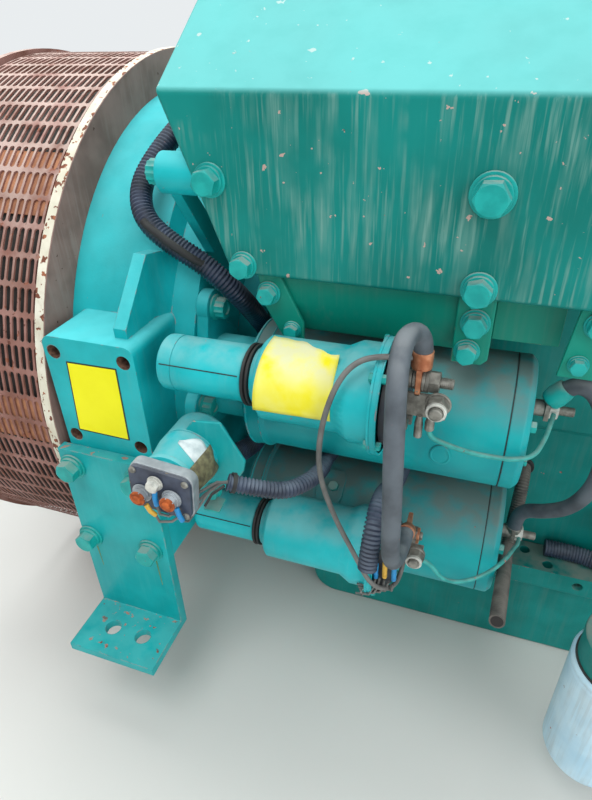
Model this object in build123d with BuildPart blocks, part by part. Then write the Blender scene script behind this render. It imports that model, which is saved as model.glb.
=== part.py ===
"""Coupling end of a diesel generator with twin starter motors.

X runs along the crank from the coupling ring into the engine, Y across it
(the starter side is minus Y) and Z up. The sizes below are drawn from a
datum plane near the front of the flywheel housing; save() writes each
piece with the origin on the crank axis in the alternator-side face.
"""
import math
import os
from build123d import *

os.makedirs("parts", exist_ok=True)

# Distance from the alternator-side face to the drawing datum
DATUM_X = 262.0
JOINT_X = -12.5

# Coupling ring and vented guard
RING_R = 398.0
RING_EDGE = 98.0
RING_BORE_R = RING_R - RING_EDGE
RING_T = 12.0
GUARD_STEP = 5.0
GUARD_R = RING_R - GUARD_STEP
GUARD_SHEET = 2.5
END_RING_T = 12.0
GUARD_LEN = DATUM_X + JOINT_X - RING_T - END_RING_T
GUARD_WINDOWS = 24
GUARD_ROWS = 4
GUARD_BAR_W = 17.0
GUARD_BAND_W = 9.0
END_RING_W = 30.0
END_RING_BORE_R = RING_R - END_RING_W
END_BOLT_R = RING_R - 17.0
END_BOLT_HOLE_R = 5.5
END_BOLTS = 12
DISC_GAP = 14.0
DISC_R = RING_BORE_R - DISC_GAP
DISC_T = 16.0
FAN_DRUM_R = RING_BORE_R
FAN_DRUM_LEN = 130.0
FAN_DRUM_T = 8.0
FAN_TIP_GAP = 37.0
FAN_R = GUARD_R - FAN_TIP_GAP
FAN_BLADE_T = 5.0
FAN_BLADE_LEN = 90.0
FAN_BLADES = 12

# Flywheel housing; its rear face carries the starters, its spigot meets the block
BARREL_R = 350.0
BARREL_LEN = 84.0
RIB_T = 16.0
REAR_R = 330.0
REAR_X = 142.0
SPIGOT_R = 205.0
HOUSING_LEN = 172.0
PAD_X0 = -2.0
PAD_X1 = 116.0
PAD_FACE_Y = 392.0
PAD_TOP_Z = 146.0
PAD_LOW_Z = -176.0
PAD_CORNER_R = 12.0
PAD_HOLE_R = 8.5
PAD_HOLE_DEPTH = 26.0
PAD_INNER_Y = 260.0
DRILL_POINT_DEG = 118.0
PAD_HOLE_X = (11.0, 101.5)
PAD_HOLE_Z = (126.5, 12.5)

# Foot brackets
FOOT_T = 14.0
FOOT_X0 = -12.0
FOOT_X1 = 118.5
FOOT_TOP_Z = -4.0
FOOT_LOW_Z = -299.0
FOOT_SOLE_T = 13.0
FOOT_REACH = 80.0
FOOT_HOLE_R = 11.0
FOOT_HOLE_X = (31.5, 79.0)
FOOT_HOLE_BACK = 39.0

# Starters: axis y and z of each motor and solenoid
MOTOR_R = 74.0
MOTOR_END_X = 501.0
CAP_LEN = 20.0
UP_Y, UP_Z = -275.0, 58.0
UP_SOL_Y, UP_SOL_Z = -372.2, 126.6
UP_SOL_R = 43.5
UP_EARS = ((-275.0, 148.0), (-330.0, 45.0))
LOW_Y, LOW_Z = -236.7, -154.2
LOW_SOL_Y, LOW_SOL_Z = -345.3, -110.9
LOW_SOL_R = 41.5
LOW_EARS = ((-277.0, -79.0), (-207.0, -234.0))
FLANGE_T = 15.0
FLANGE_R = 64.0
NECK_R = 50.0
EAR_R = 21.0
DOME_X = 342.0
SOL_FLANGE_X = 378.0
SOL_FLANGE_T = 8.0
TERM_CAP_LEN = 18.0
STUD_R = 5.0
LUG_R = 10.0

# Side box above the starters
BOX_FACE_Y = -340.0
BOX_LOW_Z = 220.0
BOX_FRONT_Z = 384.0
BOX_TOP_Z = 491.0
BOX_TOP_Y = -180.0
BOX_LEFT_TOP_X = 153.0
BOX_LEFT_LOW_X = 237.0
BOX_MID_X = 453.0

# Rail under the side box, its strips and the round boss on its left side
RAIL_PLATE_T = 5.0
BOX_RAIL_Y = -325.0
BOX_RAIL_BACK_Y = -296.0
BOX_RAIL_X0 = 262.0
BOX_RAIL_X1 = 470.0
BOX_RAIL_KNEE_Z = 191.6
BOX_RAIL_LOW_Y = -310.0
BOX_RAIL_LOW_Z = 153.5
RECESS_X1 = 532.0
RECESS_LOW_Z = 165.0
STRIP_LOW_Z = 150.0
STRIP_W = 34.0
BOSS_Y, BOSS_Z = -318.0, 309.0
BOSS_R = 20.0
BOSS_X0 = 128.0
BOSS_PLUG_R = 9.0
BOSS_PLUG_LEN = 16.0
BOSS_LEG_T = 12.0

# Starter relay, its axis along Y
RELAY_X, RELAY_Z = 181.3, 37.5
RELAY_BACK_Y = -414.0
RELAY_FLANGE_Y = -462.0
RELAY_FLANGE_T = 12.0
RELAY_CAP_T = 4.0
RELAY_CAP_W = 66.0
RELAY_CAP_H = 52.0
RELAY_CAP_TURN = 4.0
RELAY_CAP_CORNER_R = 10.0
RELAY_FRONT_R = 29.0
RELAY_BODY_R = 34.0
BRACKET_T = 4.0
BRACKET_BAR_T = 8.0

# Oil filter
FILTER_X, FILTER_Y = 668.0, -366.0
FILTER_R = 54.0
FILTER_LOW_Z = -360.0
FILTER_TOP_Z = -180.0
FILTER_CORNER_R = 14.0
FILTER_HEAD_R = 48.0
FILTER_HEAD_TOP_Z = -140.0
FILTER_ARM_W = 40.0
FILTER_ARM_H = 25.0

# Engine block section, rail and oil pan
WALL_Y = 150.0
WALL_UP_Y = 154.0
WALL_STEP_Z = -26.0
BLOCK_END_X = 770.0
BLOCK_TOP_Z = 400.0
RAIL_TOP_Z = -237.0
RAIL_LOW_Z = -270.0
RAIL_Y = 200.0
RAIL_X0 = 240.0
PAN_Y = 178.0
PAN_LOW_Z = -427.0
PAN_X0 = 236.0
PAN_CORNER_R = 40.0
PAN_HOLE_R = 7.0
GROMMET_T = 6.0
GROMMET_RIM = 4.0

# Cable and conduit diameters
BATTERY_CABLE_D = 18.0
MAIN_LOOM_D = 25.0
RELAY_LOOM_D = 18.0
TERMINAL_CONDUIT_D = 21.0
STUB_HOSE_D = 18.0
SIGNAL_WIRE_D = 5.5
SENSE_WIRE_D = 5.0


def turned(y, z, outline, mode=Mode.ADD):
    """Revolve an (x, radius) outline about a line along X through (y, z)."""
    plane = Plane(origin=(0, y, z), x_dir=(1, 0, 0), z_dir=(0, -1, 0))
    with BuildSketch(plane) as profile:
        with BuildLine():
            Polyline(*outline, close=True)
        make_face()
    revolve(profile.sketch, axis=Axis((0, y, z), (1, 0, 0)), mode=mode)


def bar_y(x, z, y0, y1, radius, mode=Mode.ADD):
    """Extrude a round bar along Y between y0 and y1."""
    with BuildSketch(Plane(origin=(x, y1, z), x_dir=(1, 0, 0), z_dir=(0, -1, 0))) as profile:
        Circle(radius)
    extrude(profile.sketch, amount=y1 - y0, mode=mode)


def bar_z(x, y, z0, z1, radius, mode=Mode.ADD):
    """Extrude a round bar along Z between z0 and z1."""
    with BuildSketch(Plane(origin=(x, y, z0))) as profile:
        Circle(radius)
    extrude(profile.sketch, amount=z1 - z0, mode=mode)


def nut_x(y, z, x0, x1, radius):
    """Add a hexagon nut along X."""
    with BuildSketch(Plane.YZ.offset(x0)) as profile:
        with Locations((y, z)):
            RegularPolygon(radius, 6)
    extrude(profile.sketch, amount=x1 - x0)


def nut_y(x, z, y0, y1, radius):
    """Add a hexagon nut along Y."""
    with BuildSketch(Plane(origin=(x, y1, z), x_dir=(1, 0, 0), z_dir=(0, -1, 0))) as profile:
        RegularPolygon(radius, 6)
    extrude(profile.sketch, amount=y1 - y0)


def disc(y, z, x0, x1, radius, mode=Mode.ADD):
    """Extrude a round bar along X between x0 and x1."""
    with BuildSketch(Plane.YZ.offset(x0)) as profile:
        with Locations((y, z)):
            Circle(radius)
    extrude(profile.sketch, amount=x1 - x0, mode=mode)


def slab_x(x0, x1, outline, mode=Mode.ADD):
    """Extrude a (y, z) outline along X between x0 and x1."""
    with BuildSketch(Plane.YZ.offset(x0)) as profile:
        with BuildLine():
            Polyline(*outline, close=True)
        make_face()
    extrude(profile.sketch, amount=x1 - x0, mode=mode)


def slab_y(y0, y1, outline, mode=Mode.ADD):
    """Extrude an (x, z) outline along Y between y0 and y1."""
    plane = Plane(origin=(0, y1, 0), x_dir=(1, 0, 0), z_dir=(0, -1, 0))
    with BuildSketch(plane) as profile:
        with BuildLine():
            Polyline(*outline, close=True)
        make_face()
    extrude(profile.sketch, amount=y1 - y0, mode=mode)


def block(x0, x1, y0, y1, z0, z1, mode=Mode.ADD):
    """Add a box between the given limits."""
    with Locations(((x0 + x1) / 2, (y0 + y1) / 2, (z0 + z1) / 2)):
        Box(x1 - x0, y1 - y0, z1 - z0, mode=mode)


def drilled_y(x, z, radius, face_y, depth, side):
    """Drill a blind hole along Y from a face; side is the outward sign."""
    plane = Plane(origin=(x, face_y, z), x_dir=(1, 0, 0), z_dir=(0, side, 0))
    tip = radius / math.tan(math.radians(DRILL_POINT_DEG / 2))
    with BuildSketch(plane) as mouth:
        Circle(radius)
    extrude(mouth.sketch, amount=-depth, mode=Mode.SUBTRACT)
    with Locations(plane.offset(-depth - tip / 2)):
        Cone(0, radius, tip, mode=Mode.SUBTRACT)


def save(builder, name):
    """Name a finished piece and write it out."""
    piece = builder.part.moved(Location((DATUM_X, 0, 0)))
    piece.label = name
    export_step(piece, "parts/" + name + ".step")
    solids = len(builder.part.solids())
    print(name, "solids", solids, "volume cm3", round(builder.part.volume / 1000, 1))


# Coupling ring
ring_x0 = JOINT_X - RING_T
with BuildPart() as coupling_ring:
    turned(0, 0, [(ring_x0, RING_BORE_R), (ring_x0, RING_R), (JOINT_X, RING_R), (JOINT_X, RING_BORE_R)])
save(coupling_ring, "coupling_ring")

# Guard screen, rolled sheet between the two rings, its fine slots drawn as a coarse grid of windows
guard_x0 = ring_x0 - GUARD_LEN
window_w = 2 * GUARD_R * math.tan(math.pi / GUARD_WINDOWS) - GUARD_BAR_W
row_pitch = (GUARD_LEN - GUARD_BAND_W) / GUARD_ROWS
with BuildPart() as guard_screen:
    turned(0, 0, [(guard_x0, GUARD_R - GUARD_SHEET), (guard_x0, GUARD_R), (ring_x0, GUARD_R),
                  (ring_x0, GUARD_R - GUARD_SHEET)])
    for row in range(GUARD_ROWS):
        row_x = guard_x0 + GUARD_BAND_W + row * row_pitch
        with BuildSketch(Plane.YZ.offset(row_x)) as windows:
            with PolarLocations(0, GUARD_WINDOWS):
                with Locations((GUARD_R, 0)):
                    Rectangle(window_w / 2, window_w)
        extrude(windows.sketch, amount=row_pitch - GUARD_BAND_W, mode=Mode.SUBTRACT)
save(guard_screen, "guard_screen")

with BuildPart() as guard_end_ring:
    turned(0, 0, [(guard_x0 - END_RING_T, END_RING_BORE_R), (guard_x0 - END_RING_T, RING_R),
                  (guard_x0, RING_R), (guard_x0, END_RING_BORE_R)])
    with BuildSketch(Plane.YZ.offset(guard_x0 - END_RING_T)) as end_holes:
        with PolarLocations(END_BOLT_R, END_BOLTS):
            Circle(END_BOLT_HOLE_R)
    extrude(end_holes.sketch, amount=END_RING_T, mode=Mode.SUBTRACT)
save(guard_end_ring, "guard_end_ring")

# Drive disc and cooling fan inside the guard
with BuildPart() as drive_disc:
    turned(0, 0, [(JOINT_X - DISC_T, 0), (JOINT_X - DISC_T, DISC_R), (JOINT_X, DISC_R), (JOINT_X, 0)])
save(drive_disc, "drive_disc")

fan_x1 = JOINT_X - DISC_T
with BuildPart() as fan:
    turned(0, 0, [(fan_x1 - FAN_DRUM_LEN, FAN_DRUM_R - FAN_DRUM_T), (fan_x1 - FAN_DRUM_LEN, FAN_DRUM_R),
                  (fan_x1, FAN_DRUM_R), (fan_x1, 0), (fan_x1 - FAN_DRUM_T, 0),
                  (fan_x1 - FAN_DRUM_T, FAN_DRUM_R - FAN_DRUM_T)])
    with BuildSketch(Plane.YZ.offset(fan_x1 - 20 - FAN_BLADE_LEN)) as blades:
        with PolarLocations(0, FAN_BLADES):
            with Locations(((FAN_DRUM_R + FAN_R - FAN_DRUM_T / 2) / 2, 0)):
                Rectangle(FAN_R - FAN_DRUM_R + FAN_DRUM_T / 2, FAN_BLADE_T)
    extrude(blades.sketch, amount=FAN_BLADE_LEN)
save(fan, "fan")

# Flywheel housing casting with side pads and a curved rib above each pad
rib_x1 = BARREL_LEN + RIB_T
with BuildPart() as flywheel_housing:
    turned(0, 0, [(JOINT_X, 0), (JOINT_X, BARREL_R), (rib_x1, BARREL_R), (rib_x1 + 10, REAR_R),
                  (REAR_X, REAR_R), (REAR_X, SPIGOT_R), (HOUSING_LEN, SPIGOT_R), (HOUSING_LEN, 0)])
    for side in (-1, 1):
        plane = Plane(origin=(0, side * PAD_INNER_Y, 0), x_dir=(1, 0, 0), z_dir=(0, side, 0))
        pad_mid_z = -side * (PAD_TOP_Z + PAD_LOW_Z) / 2
        with BuildSketch(plane) as pad_face:
            with Locations(((PAD_X0 + PAD_X1) / 2, pad_mid_z)):
                RectangleRounded(PAD_X1 - PAD_X0, PAD_TOP_Z - PAD_LOW_Z, PAD_CORNER_R)
        extrude(pad_face.sketch, amount=PAD_FACE_Y - PAD_INNER_Y)
        slab_x(BARREL_LEN, rib_x1,
               [(side * 374, PAD_TOP_Z - 20), (side * 374, PAD_TOP_Z + 11), (side * 314, 220),
                (side * 284, 214), (side * 240, 180), (side * 260, 100)])
        for hx in PAD_HOLE_X:
            for hz in PAD_HOLE_Z:
                drilled_y(hx, hz, PAD_HOLE_R, side * PAD_FACE_Y, PAD_HOLE_DEPTH, side)
save(flywheel_housing, "flywheel_housing")


def foot_bracket(side):
    """Angle plate bolted under the side pad; side is -1 near, 1 far."""
    with BuildPart() as bracket:
        f0 = side * PAD_FACE_Y
        f1 = side * (PAD_FACE_Y + FOOT_T)
        f2 = side * (PAD_FACE_Y + FOOT_T + FOOT_REACH)
        slab_x(FOOT_X0, FOOT_X1, [(f0, FOOT_LOW_Z), (f0, FOOT_TOP_Z), (f1, FOOT_TOP_Z),
                                  (f1, FOOT_LOW_Z + FOOT_SOLE_T), (f2, FOOT_LOW_Z + FOOT_SOLE_T),
                                  (f2, FOOT_LOW_Z)])
        for hx in FOOT_HOLE_X:
            bar_z(hx, side * (PAD_FACE_Y + FOOT_T + FOOT_HOLE_BACK), FOOT_LOW_Z,
                  FOOT_LOW_Z + FOOT_SOLE_T, FOOT_HOLE_R, mode=Mode.SUBTRACT)
    return bracket


save(foot_bracket(-1), "foot_bracket_near")
save(foot_bracket(1), "foot_bracket_far")


def web(x0, x1, start, end, half_start, half_end):
    """Join two (y, z) centres with a tapering web between x0 and x1."""
    dy = end[0] - start[0]
    dz = end[1] - start[1]
    span = math.hypot(dy, dz)
    ny = -dz / span
    nz = dy / span
    slab_x(x0, x1, [(start[0] + ny * half_start, start[1] + nz * half_start),
                    (end[0] + ny * half_end, end[1] + nz * half_end),
                    (end[0] - ny * half_end, end[1] - nz * half_end),
                    (start[0] - ny * half_start, start[1] - nz * half_start)])


def starter(prefix, my, mz, sy, sz, sol_r, ears, front_x, cap_x0, boot_x):
    """Write the seven pieces of one starter motor."""
    body_x = boot_x + 17
    cap_r = sol_r - 13.5
    neck_x = REAR_X + FLANGE_T
    flange_x2 = SOL_FLANGE_X + SOL_FLANGE_T
    with BuildPart() as nose:
        turned(my, mz, [(REAR_X, 0), (REAR_X, FLANGE_R), (neck_x, FLANGE_R), (neck_x, NECK_R),
                        (front_x - 9, NECK_R), (front_x - 4, MOTOR_R - 4), (front_x, MOTOR_R - 4),
                        (front_x, 0)])
        for ear in ears:
            web(REAR_X, neck_x, (my, mz), ear, 2 * EAR_R, EAR_R * 0.9)
            disc(ear[0], ear[1], REAR_X, neck_x, EAR_R)
        web(cap_x0 + 14, front_x, (my, mz), (sy, sz), 20, 16)
        disc(sy, sz, cap_x0, boot_x, cap_r, mode=Mode.SUBTRACT)
    save(nose, prefix + "_drive_housing")
    with BuildPart() as motor:
        turned(my, mz, [(front_x, 0), (front_x, MOTOR_R + 3), (front_x + 20, MOTOR_R + 3),
                        (front_x + 23, MOTOR_R), (MOTOR_END_X, MOTOR_R), (MOTOR_END_X, 0)])
        web(body_x + 8, DOME_X - 12, (my, mz), (sy, sz), 22, 22)
        disc(sy, sz, body_x, DOME_X, sol_r, mode=Mode.SUBTRACT)
    save(motor, prefix + "_motor")
    with BuildPart() as end_cap:
        turned(my, mz, [(MOTOR_END_X, 0), (MOTOR_END_X, MOTOR_R), (MOTOR_END_X + CAP_LEN - 6, MOTOR_R),
                        (MOTOR_END_X + CAP_LEN, MOTOR_R - 6), (MOTOR_END_X + CAP_LEN, 0)])
    save(end_cap, prefix + "_end_cap")
    with BuildPart() as solenoid:
        turned(sy, sz, [(body_x, 0), (body_x, sol_r - 4), (body_x + 4, sol_r), (DOME_X, sol_r),
                        (DOME_X + 14, sol_r + 7), (SOL_FLANGE_X, sol_r + 7),
                        (SOL_FLANGE_X, sol_r + 14), (flange_x2, sol_r + 14), (flange_x2, 0)])
        disc(my, mz, DOME_X - 4, flange_x2 + 2, MOTOR_R, mode=Mode.SUBTRACT)
    save(solenoid, prefix + "_solenoid")
    with BuildPart() as boot:
        turned(sy, sz, [(boot_x, 0), (boot_x, sol_r - 6), (boot_x + 7, sol_r - 6), (boot_x + 7, sol_r - 11),
                        (body_x, sol_r - 11), (body_x, 0)])
    save(boot, prefix + "_boot_ring")
    with BuildPart() as plunger_cap:
        turned(sy, sz, [(cap_x0, 0), (cap_x0, cap_r - 8), (cap_x0 + 8, cap_r), (boot_x, cap_r), (boot_x, 0)])
    save(plunger_cap, prefix + "_plunger_cap")
    with BuildPart() as terminal_cap:
        turned(sy, sz, [(flange_x2, 0), (flange_x2, sol_r + 3), (flange_x2 + 12, sol_r + 3),
                        (flange_x2 + TERM_CAP_LEN, sol_r - 5), (flange_x2 + TERM_CAP_LEN, 0)])
        disc(my, mz, flange_x2 - 2, flange_x2 + TERM_CAP_LEN + 10, MOTOR_R + 1, mode=Mode.SUBTRACT)
    save(terminal_cap, prefix + "_terminal_cap")


starter("upper", UP_Y, UP_Z, UP_SOL_Y, UP_SOL_Z, UP_SOL_R, UP_EARS, 219.0, 156.0, 243.0)
starter("lower", LOW_Y, LOW_Z, LOW_SOL_Y, LOW_SOL_Z, LOW_SOL_R, LOW_EARS, 188.0, 140.0, 227.0)

# Terminal studs, nuts, straps and cable lugs on the solenoids' caps
term_x = SOL_FLANGE_X + SOL_FLANGE_T + TERM_CAP_LEN
lug_x = term_x + LUG_R + 1
UP_LUG_TOP_Z = 184.0
LOW_LUG_FACE_Y = -368.0
LOW_LUG_Z_MID = -66.0
UP_SENSE_Z = 108.0
with BuildPart() as starter_terminals:
    disc(-377, 153, term_x, term_x + 42, STUD_R)
    disc(-377, 153, term_x, term_x + 4, 9)
    disc(-377, 153, term_x + 4, term_x + 8, 9)
    block(term_x + 8, term_x + 13, -388, -366, 142, 168)
    disc(-377, 153, term_x + 13, term_x + 20, 11)
    nut_x(-377, 153, term_x + 20, term_x + 31, 10.5)
    bar_z(lug_x, -377, 166, UP_LUG_TOP_Z, LUG_R)
    block(term_x, term_x + 38, -388, -384, 120, 144)
    bar_y(term_x + 30.5, 137.5, -391, -388, 12)
    nut_y(term_x + 30.5, 137.5, -403, -391, 10.5)
    bar_y(term_x + 30.5, 137.5, -410, -403, STUD_R)
    bar_z(term_x + 15, -389, 98, 122, 4)
    bar_z(term_x + 25, -389, UP_SENSE_Z, 122, 4.5)
    disc(-336.7, -84.5, term_x, term_x + 28, STUD_R)
    block(term_x + 8, term_x + 13, -352, -326, -94, -60)
    nut_x(-336.7, -84.5, term_x + 13, term_x + 22, 10.5)
    disc(-336.7, -84.5, term_x, term_x + 8, 9)
    bar_y(lug_x, LOW_LUG_Z_MID, LOW_LUG_FACE_Y, -350, LUG_R)
    block(term_x, term_x + 32, -362, -358, -98, -76)
    bar_y(term_x + 24, -86, -366, -362, 11)
    nut_y(term_x + 24, -86, -377, -366, 10)
    bar_y(term_x + 24, -86, -383, -377, STUD_R)
save(starter_terminals, "starter_terminals")

# Ground studs and cable lugs on the end caps
end_x = MOTOR_END_X + CAP_LEN
UP_GROUND_Y, UP_GROUND_Z = -268.0, 75.0
LOW_GROUND_Y, LOW_GROUND_Z = -232.0, -145.0
GROUND_RING_X = end_x + 15
GROUND_LUG_X = GROUND_RING_X + 2.5
LOW_LUG_Z = -142.0
LOW_LUG_LEN = 8.0
UP_LUG_START_Z = UP_GROUND_Z + 9
UP_LUG_LEN = 12.0
UP_LUG_DX = 0.6
UP_LUG_DZ = 0.8
GROUND_LEAD = 17.0
with BuildPart() as ground_studs:
    for gy, gz in ((UP_GROUND_Y, UP_GROUND_Z), (LOW_GROUND_Y, LOW_GROUND_Z)):
        disc(gy, gz, end_x, GROUND_RING_X, 9)
        disc(gy, gz, GROUND_RING_X, GROUND_RING_X + 30, STUD_R)
        block(GROUND_RING_X, GROUND_RING_X + 5, gy - 10, gy + 10, gz - 10, gz + 10)
        nut_x(gy, gz, GROUND_RING_X + 5, GROUND_RING_X + 16, 10)
    bar_z(GROUND_LUG_X, LOW_GROUND_Y, LOW_LUG_Z, LOW_LUG_Z + LOW_LUG_LEN, LUG_R)
    barrel_plane = Plane(origin=(GROUND_LUG_X, UP_GROUND_Y, UP_LUG_START_Z), z_dir=(UP_LUG_DX, 0, UP_LUG_DZ))
    with BuildSketch(barrel_plane) as barrel_end:
        Circle(LUG_R)
    extrude(barrel_end.sketch, amount=UP_LUG_LEN)
save(ground_studs, "ground_studs")

# Side box above the starters, with slanted ends
with BuildPart() as side_box:
    right_top = 2 * BOX_MID_X - BOX_LEFT_TOP_X
    right_low = 2 * BOX_MID_X - BOX_LEFT_LOW_X
    slab_x(BOX_LEFT_TOP_X, right_top, [(BOX_FACE_Y, BOX_LOW_Z), (BOX_FACE_Y, BOX_FRONT_Z),
                                       (BOX_TOP_Y, BOX_TOP_Z), (-WALL_UP_Y, BOX_TOP_Z), (-WALL_UP_Y, BOX_LOW_Z)])
    slope = (BOX_LEFT_LOW_X - BOX_LEFT_TOP_X) / (BOX_FRONT_Z - BOX_LOW_Z)
    drop = 20.0
    slab_y(BOX_FACE_Y - 5, -WALL_UP_Y + 5,
           [(BOX_LEFT_TOP_X, BOX_FRONT_Z), (BOX_LEFT_LOW_X + slope * drop, BOX_LOW_Z - drop),
            (BOX_LEFT_TOP_X - 30, BOX_LOW_Z - drop), (BOX_LEFT_TOP_X - 30, BOX_FRONT_Z)], mode=Mode.SUBTRACT)
    slab_y(BOX_FACE_Y - 5, -WALL_UP_Y + 5,
           [(right_top, BOX_FRONT_Z), (right_low - slope * drop, BOX_LOW_Z - drop),
            (right_top + 30, BOX_LOW_Z - drop), (right_top + 30, BOX_FRONT_Z)], mode=Mode.SUBTRACT)
save(side_box, "side_box")

# Folded rail under the box and the strips bolted to it
with BuildPart() as box_rail:
    slab_x(BOX_RAIL_X0, BOX_RAIL_X1,
           [(BOX_RAIL_Y, BOX_LOW_Z), (BOX_RAIL_Y, BOX_RAIL_KNEE_Z), (BOX_RAIL_LOW_Y, BOX_RAIL_LOW_Z),
            (BOX_RAIL_BACK_Y, BOX_RAIL_LOW_Z), (BOX_RAIL_BACK_Y, BOX_LOW_Z)])
save(box_rail, "box_rail")

strip_y = BOX_RAIL_Y - RAIL_PLATE_T
with BuildPart() as rail_strips:
    slab_y(strip_y, BOX_RAIL_Y, [(BOX_RAIL_X0 - 24, BOX_LOW_Z), (BOX_RAIL_X0, BOX_LOW_Z),
                                 (BOX_RAIL_X0 + 24, BOX_LOW_Z - 50),
                                 (BOX_RAIL_X0 + 24, STRIP_LOW_Z), (BOX_RAIL_X0 + 2, STRIP_LOW_Z),
                                 (BOX_RAIL_X0 - 18, BOX_LOW_Z - 35)])
    slab_y(strip_y, BOX_RAIL_Y, [(BOX_RAIL_X1 - STRIP_W, BOX_LOW_Z), (BOX_RAIL_X1, BOX_LOW_Z),
                                 (BOX_RAIL_X1, STRIP_LOW_Z + 6), (BOX_RAIL_X1 - 6, STRIP_LOW_Z),
                                 (BOX_RAIL_X1 - STRIP_W, STRIP_LOW_Z)])
    slab_y(strip_y, BOX_RAIL_Y, [(RECESS_X1 + 8, BOX_LOW_Z), (RECESS_X1 + 54, BOX_LOW_Z),
                                 (RECESS_X1 + 43, STRIP_LOW_Z), (RECESS_X1, STRIP_LOW_Z)])
    block(BOX_RAIL_X1, RECESS_X1, BOX_RAIL_BACK_Y - RAIL_PLATE_T, BOX_RAIL_BACK_Y, RECESS_LOW_Z, BOX_LOW_Z)
save(rail_strips, "rail_strips")

# Round boss with a plug on the box's slanted end, its leg down on the housing
with BuildPart() as side_boss:
    disc(BOSS_Y, BOSS_Z, BOSS_X0, BOX_LEFT_LOW_X, BOSS_R)
    slab_x(BOSS_X0 + 2, BOSS_X0 + 2 + BOSS_LEG_T, [(-318, 292), (-300, 300), (-222, 205), (-240, 185)])
    disc(0, 0, BOSS_X0, BOSS_X0 + 2 * BOSS_LEG_T, REAR_R, mode=Mode.SUBTRACT)
    disc(BOSS_Y, BOSS_Z, BOSS_X0 - BOSS_PLUG_LEN, BOSS_X0, BOSS_PLUG_R)
    add(side_box.part, mode=Mode.SUBTRACT)
save(side_boss, "side_boss")

# Starter relay: can, terminal cap with studs, and bracket to the housing's rear face
with BuildPart() as relay_body:
    profile_plane = Plane(origin=(RELAY_X, 0, RELAY_Z), x_dir=(0, 1, 0), z_dir=(1, 0, 0))
    with BuildSketch(profile_plane) as can_profile:
        with BuildLine():
            Polyline((RELAY_FLANGE_Y, 0), (RELAY_FLANGE_Y, RELAY_FRONT_R),
                     (RELAY_FLANGE_Y + 24, RELAY_BODY_R - 2),
                     (RELAY_BACK_Y - 12, RELAY_BODY_R), (RELAY_BACK_Y, RELAY_BODY_R - 9), (RELAY_BACK_Y, 0),
                     close=True)
        make_face()
    revolve(can_profile.sketch, axis=Axis((RELAY_X, 0, RELAY_Z), (0, 1, 0)))
    flange_plane = Plane(origin=(RELAY_X, RELAY_FLANGE_Y, RELAY_Z), x_dir=(1, 0, 0), z_dir=(0, -1, 0))
    with BuildSketch(flange_plane) as flange_face:
        RectangleRounded(RELAY_CAP_W, RELAY_CAP_H, RELAY_CAP_CORNER_R, rotation=RELAY_CAP_TURN)
    extrude(flange_face.sketch, amount=RELAY_FLANGE_T)
save(relay_body, "relay_body")

cap_y = RELAY_FLANGE_Y - RELAY_FLANGE_T
with BuildPart() as relay_cap:
    with BuildSketch(flange_plane.offset(RELAY_FLANGE_T)) as cap_face:
        RectangleRounded(RELAY_CAP_W - 4, RELAY_CAP_H - 4, RELAY_CAP_CORNER_R - 2, rotation=RELAY_CAP_TURN)
    extrude(cap_face.sketch, amount=RELAY_CAP_T)
    for stud_x, stud_z, stud_len in ((177.6, 48.3, 12.0), (160.0, 28.7, 26.0), (192.7, 29.7, 26.0)):
        bar_y(stud_x, stud_z, cap_y - RELAY_CAP_T - stud_len, cap_y - RELAY_CAP_T, STUD_R)
        nut_y(stud_x, stud_z, cap_y - RELAY_CAP_T - 8, cap_y - RELAY_CAP_T, 9)
save(relay_cap, "relay_cap")

bracket_y = RELAY_BACK_Y + BRACKET_T
with BuildPart() as relay_bracket:
    slab_y(RELAY_BACK_Y, bracket_y, [(REAR_X, -34), (228, 3), (244, 29), (247, 43), (222, 88), (190, 84),
                                     (REAR_X, 20)])
    block(REAR_X, REAR_X + BRACKET_BAR_T, bracket_y, -300, -34, -10)
save(relay_bracket, "relay_bracket")

# Oil filter hanging from its head
with BuildPart() as filter_canister:
    bar_z(FILTER_X, FILTER_Y, FILTER_LOW_Z, FILTER_TOP_Z, FILTER_R)
    fillet(filter_canister.edges().group_by(Axis.Z)[0], FILTER_CORNER_R)
save(filter_canister, "filter_canister")

with BuildPart() as filter_head:
    bar_z(FILTER_X, FILTER_Y, FILTER_TOP_Z, FILTER_HEAD_TOP_Z, FILTER_HEAD_R)
    block(FILTER_X - FILTER_ARM_W / 2, FILTER_X + FILTER_ARM_W / 2, FILTER_Y, -WALL_Y,
          FILTER_HEAD_TOP_Z - FILTER_ARM_H, FILTER_HEAD_TOP_Z)
save(filter_head, "filter_head")

# Engine block section with a narrow step along each wall
with BuildPart() as engine_block:
    step_low = WALL_STEP_Z - (WALL_UP_Y - WALL_Y)
    slab_x(HOUSING_LEN, BLOCK_END_X,
           [(-WALL_UP_Y, BLOCK_TOP_Z), (-WALL_UP_Y, WALL_STEP_Z), (-WALL_Y, step_low), (-WALL_Y, RAIL_TOP_Z),
            (WALL_Y, RAIL_TOP_Z), (WALL_Y, step_low), (WALL_UP_Y, WALL_STEP_Z), (WALL_UP_Y, BLOCK_TOP_Z)])
save(engine_block, "engine_block")

with BuildPart() as pan_rail:
    block(RAIL_X0, BLOCK_END_X, -RAIL_Y, RAIL_Y, RAIL_LOW_Z, RAIL_TOP_Z)
    for hole_x, hole_y in ((566.5, -165.7), (598.4, -185.9)):
        bar_z(hole_x, hole_y, RAIL_TOP_Z - 18, RAIL_TOP_Z, PAN_HOLE_R, mode=Mode.SUBTRACT)
    bar_y(641, (RAIL_TOP_Z + RAIL_LOW_Z) / 2, -RAIL_Y, -RAIL_Y + 16, PAN_HOLE_R, mode=Mode.SUBTRACT)
save(pan_rail, "pan_rail")

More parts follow.
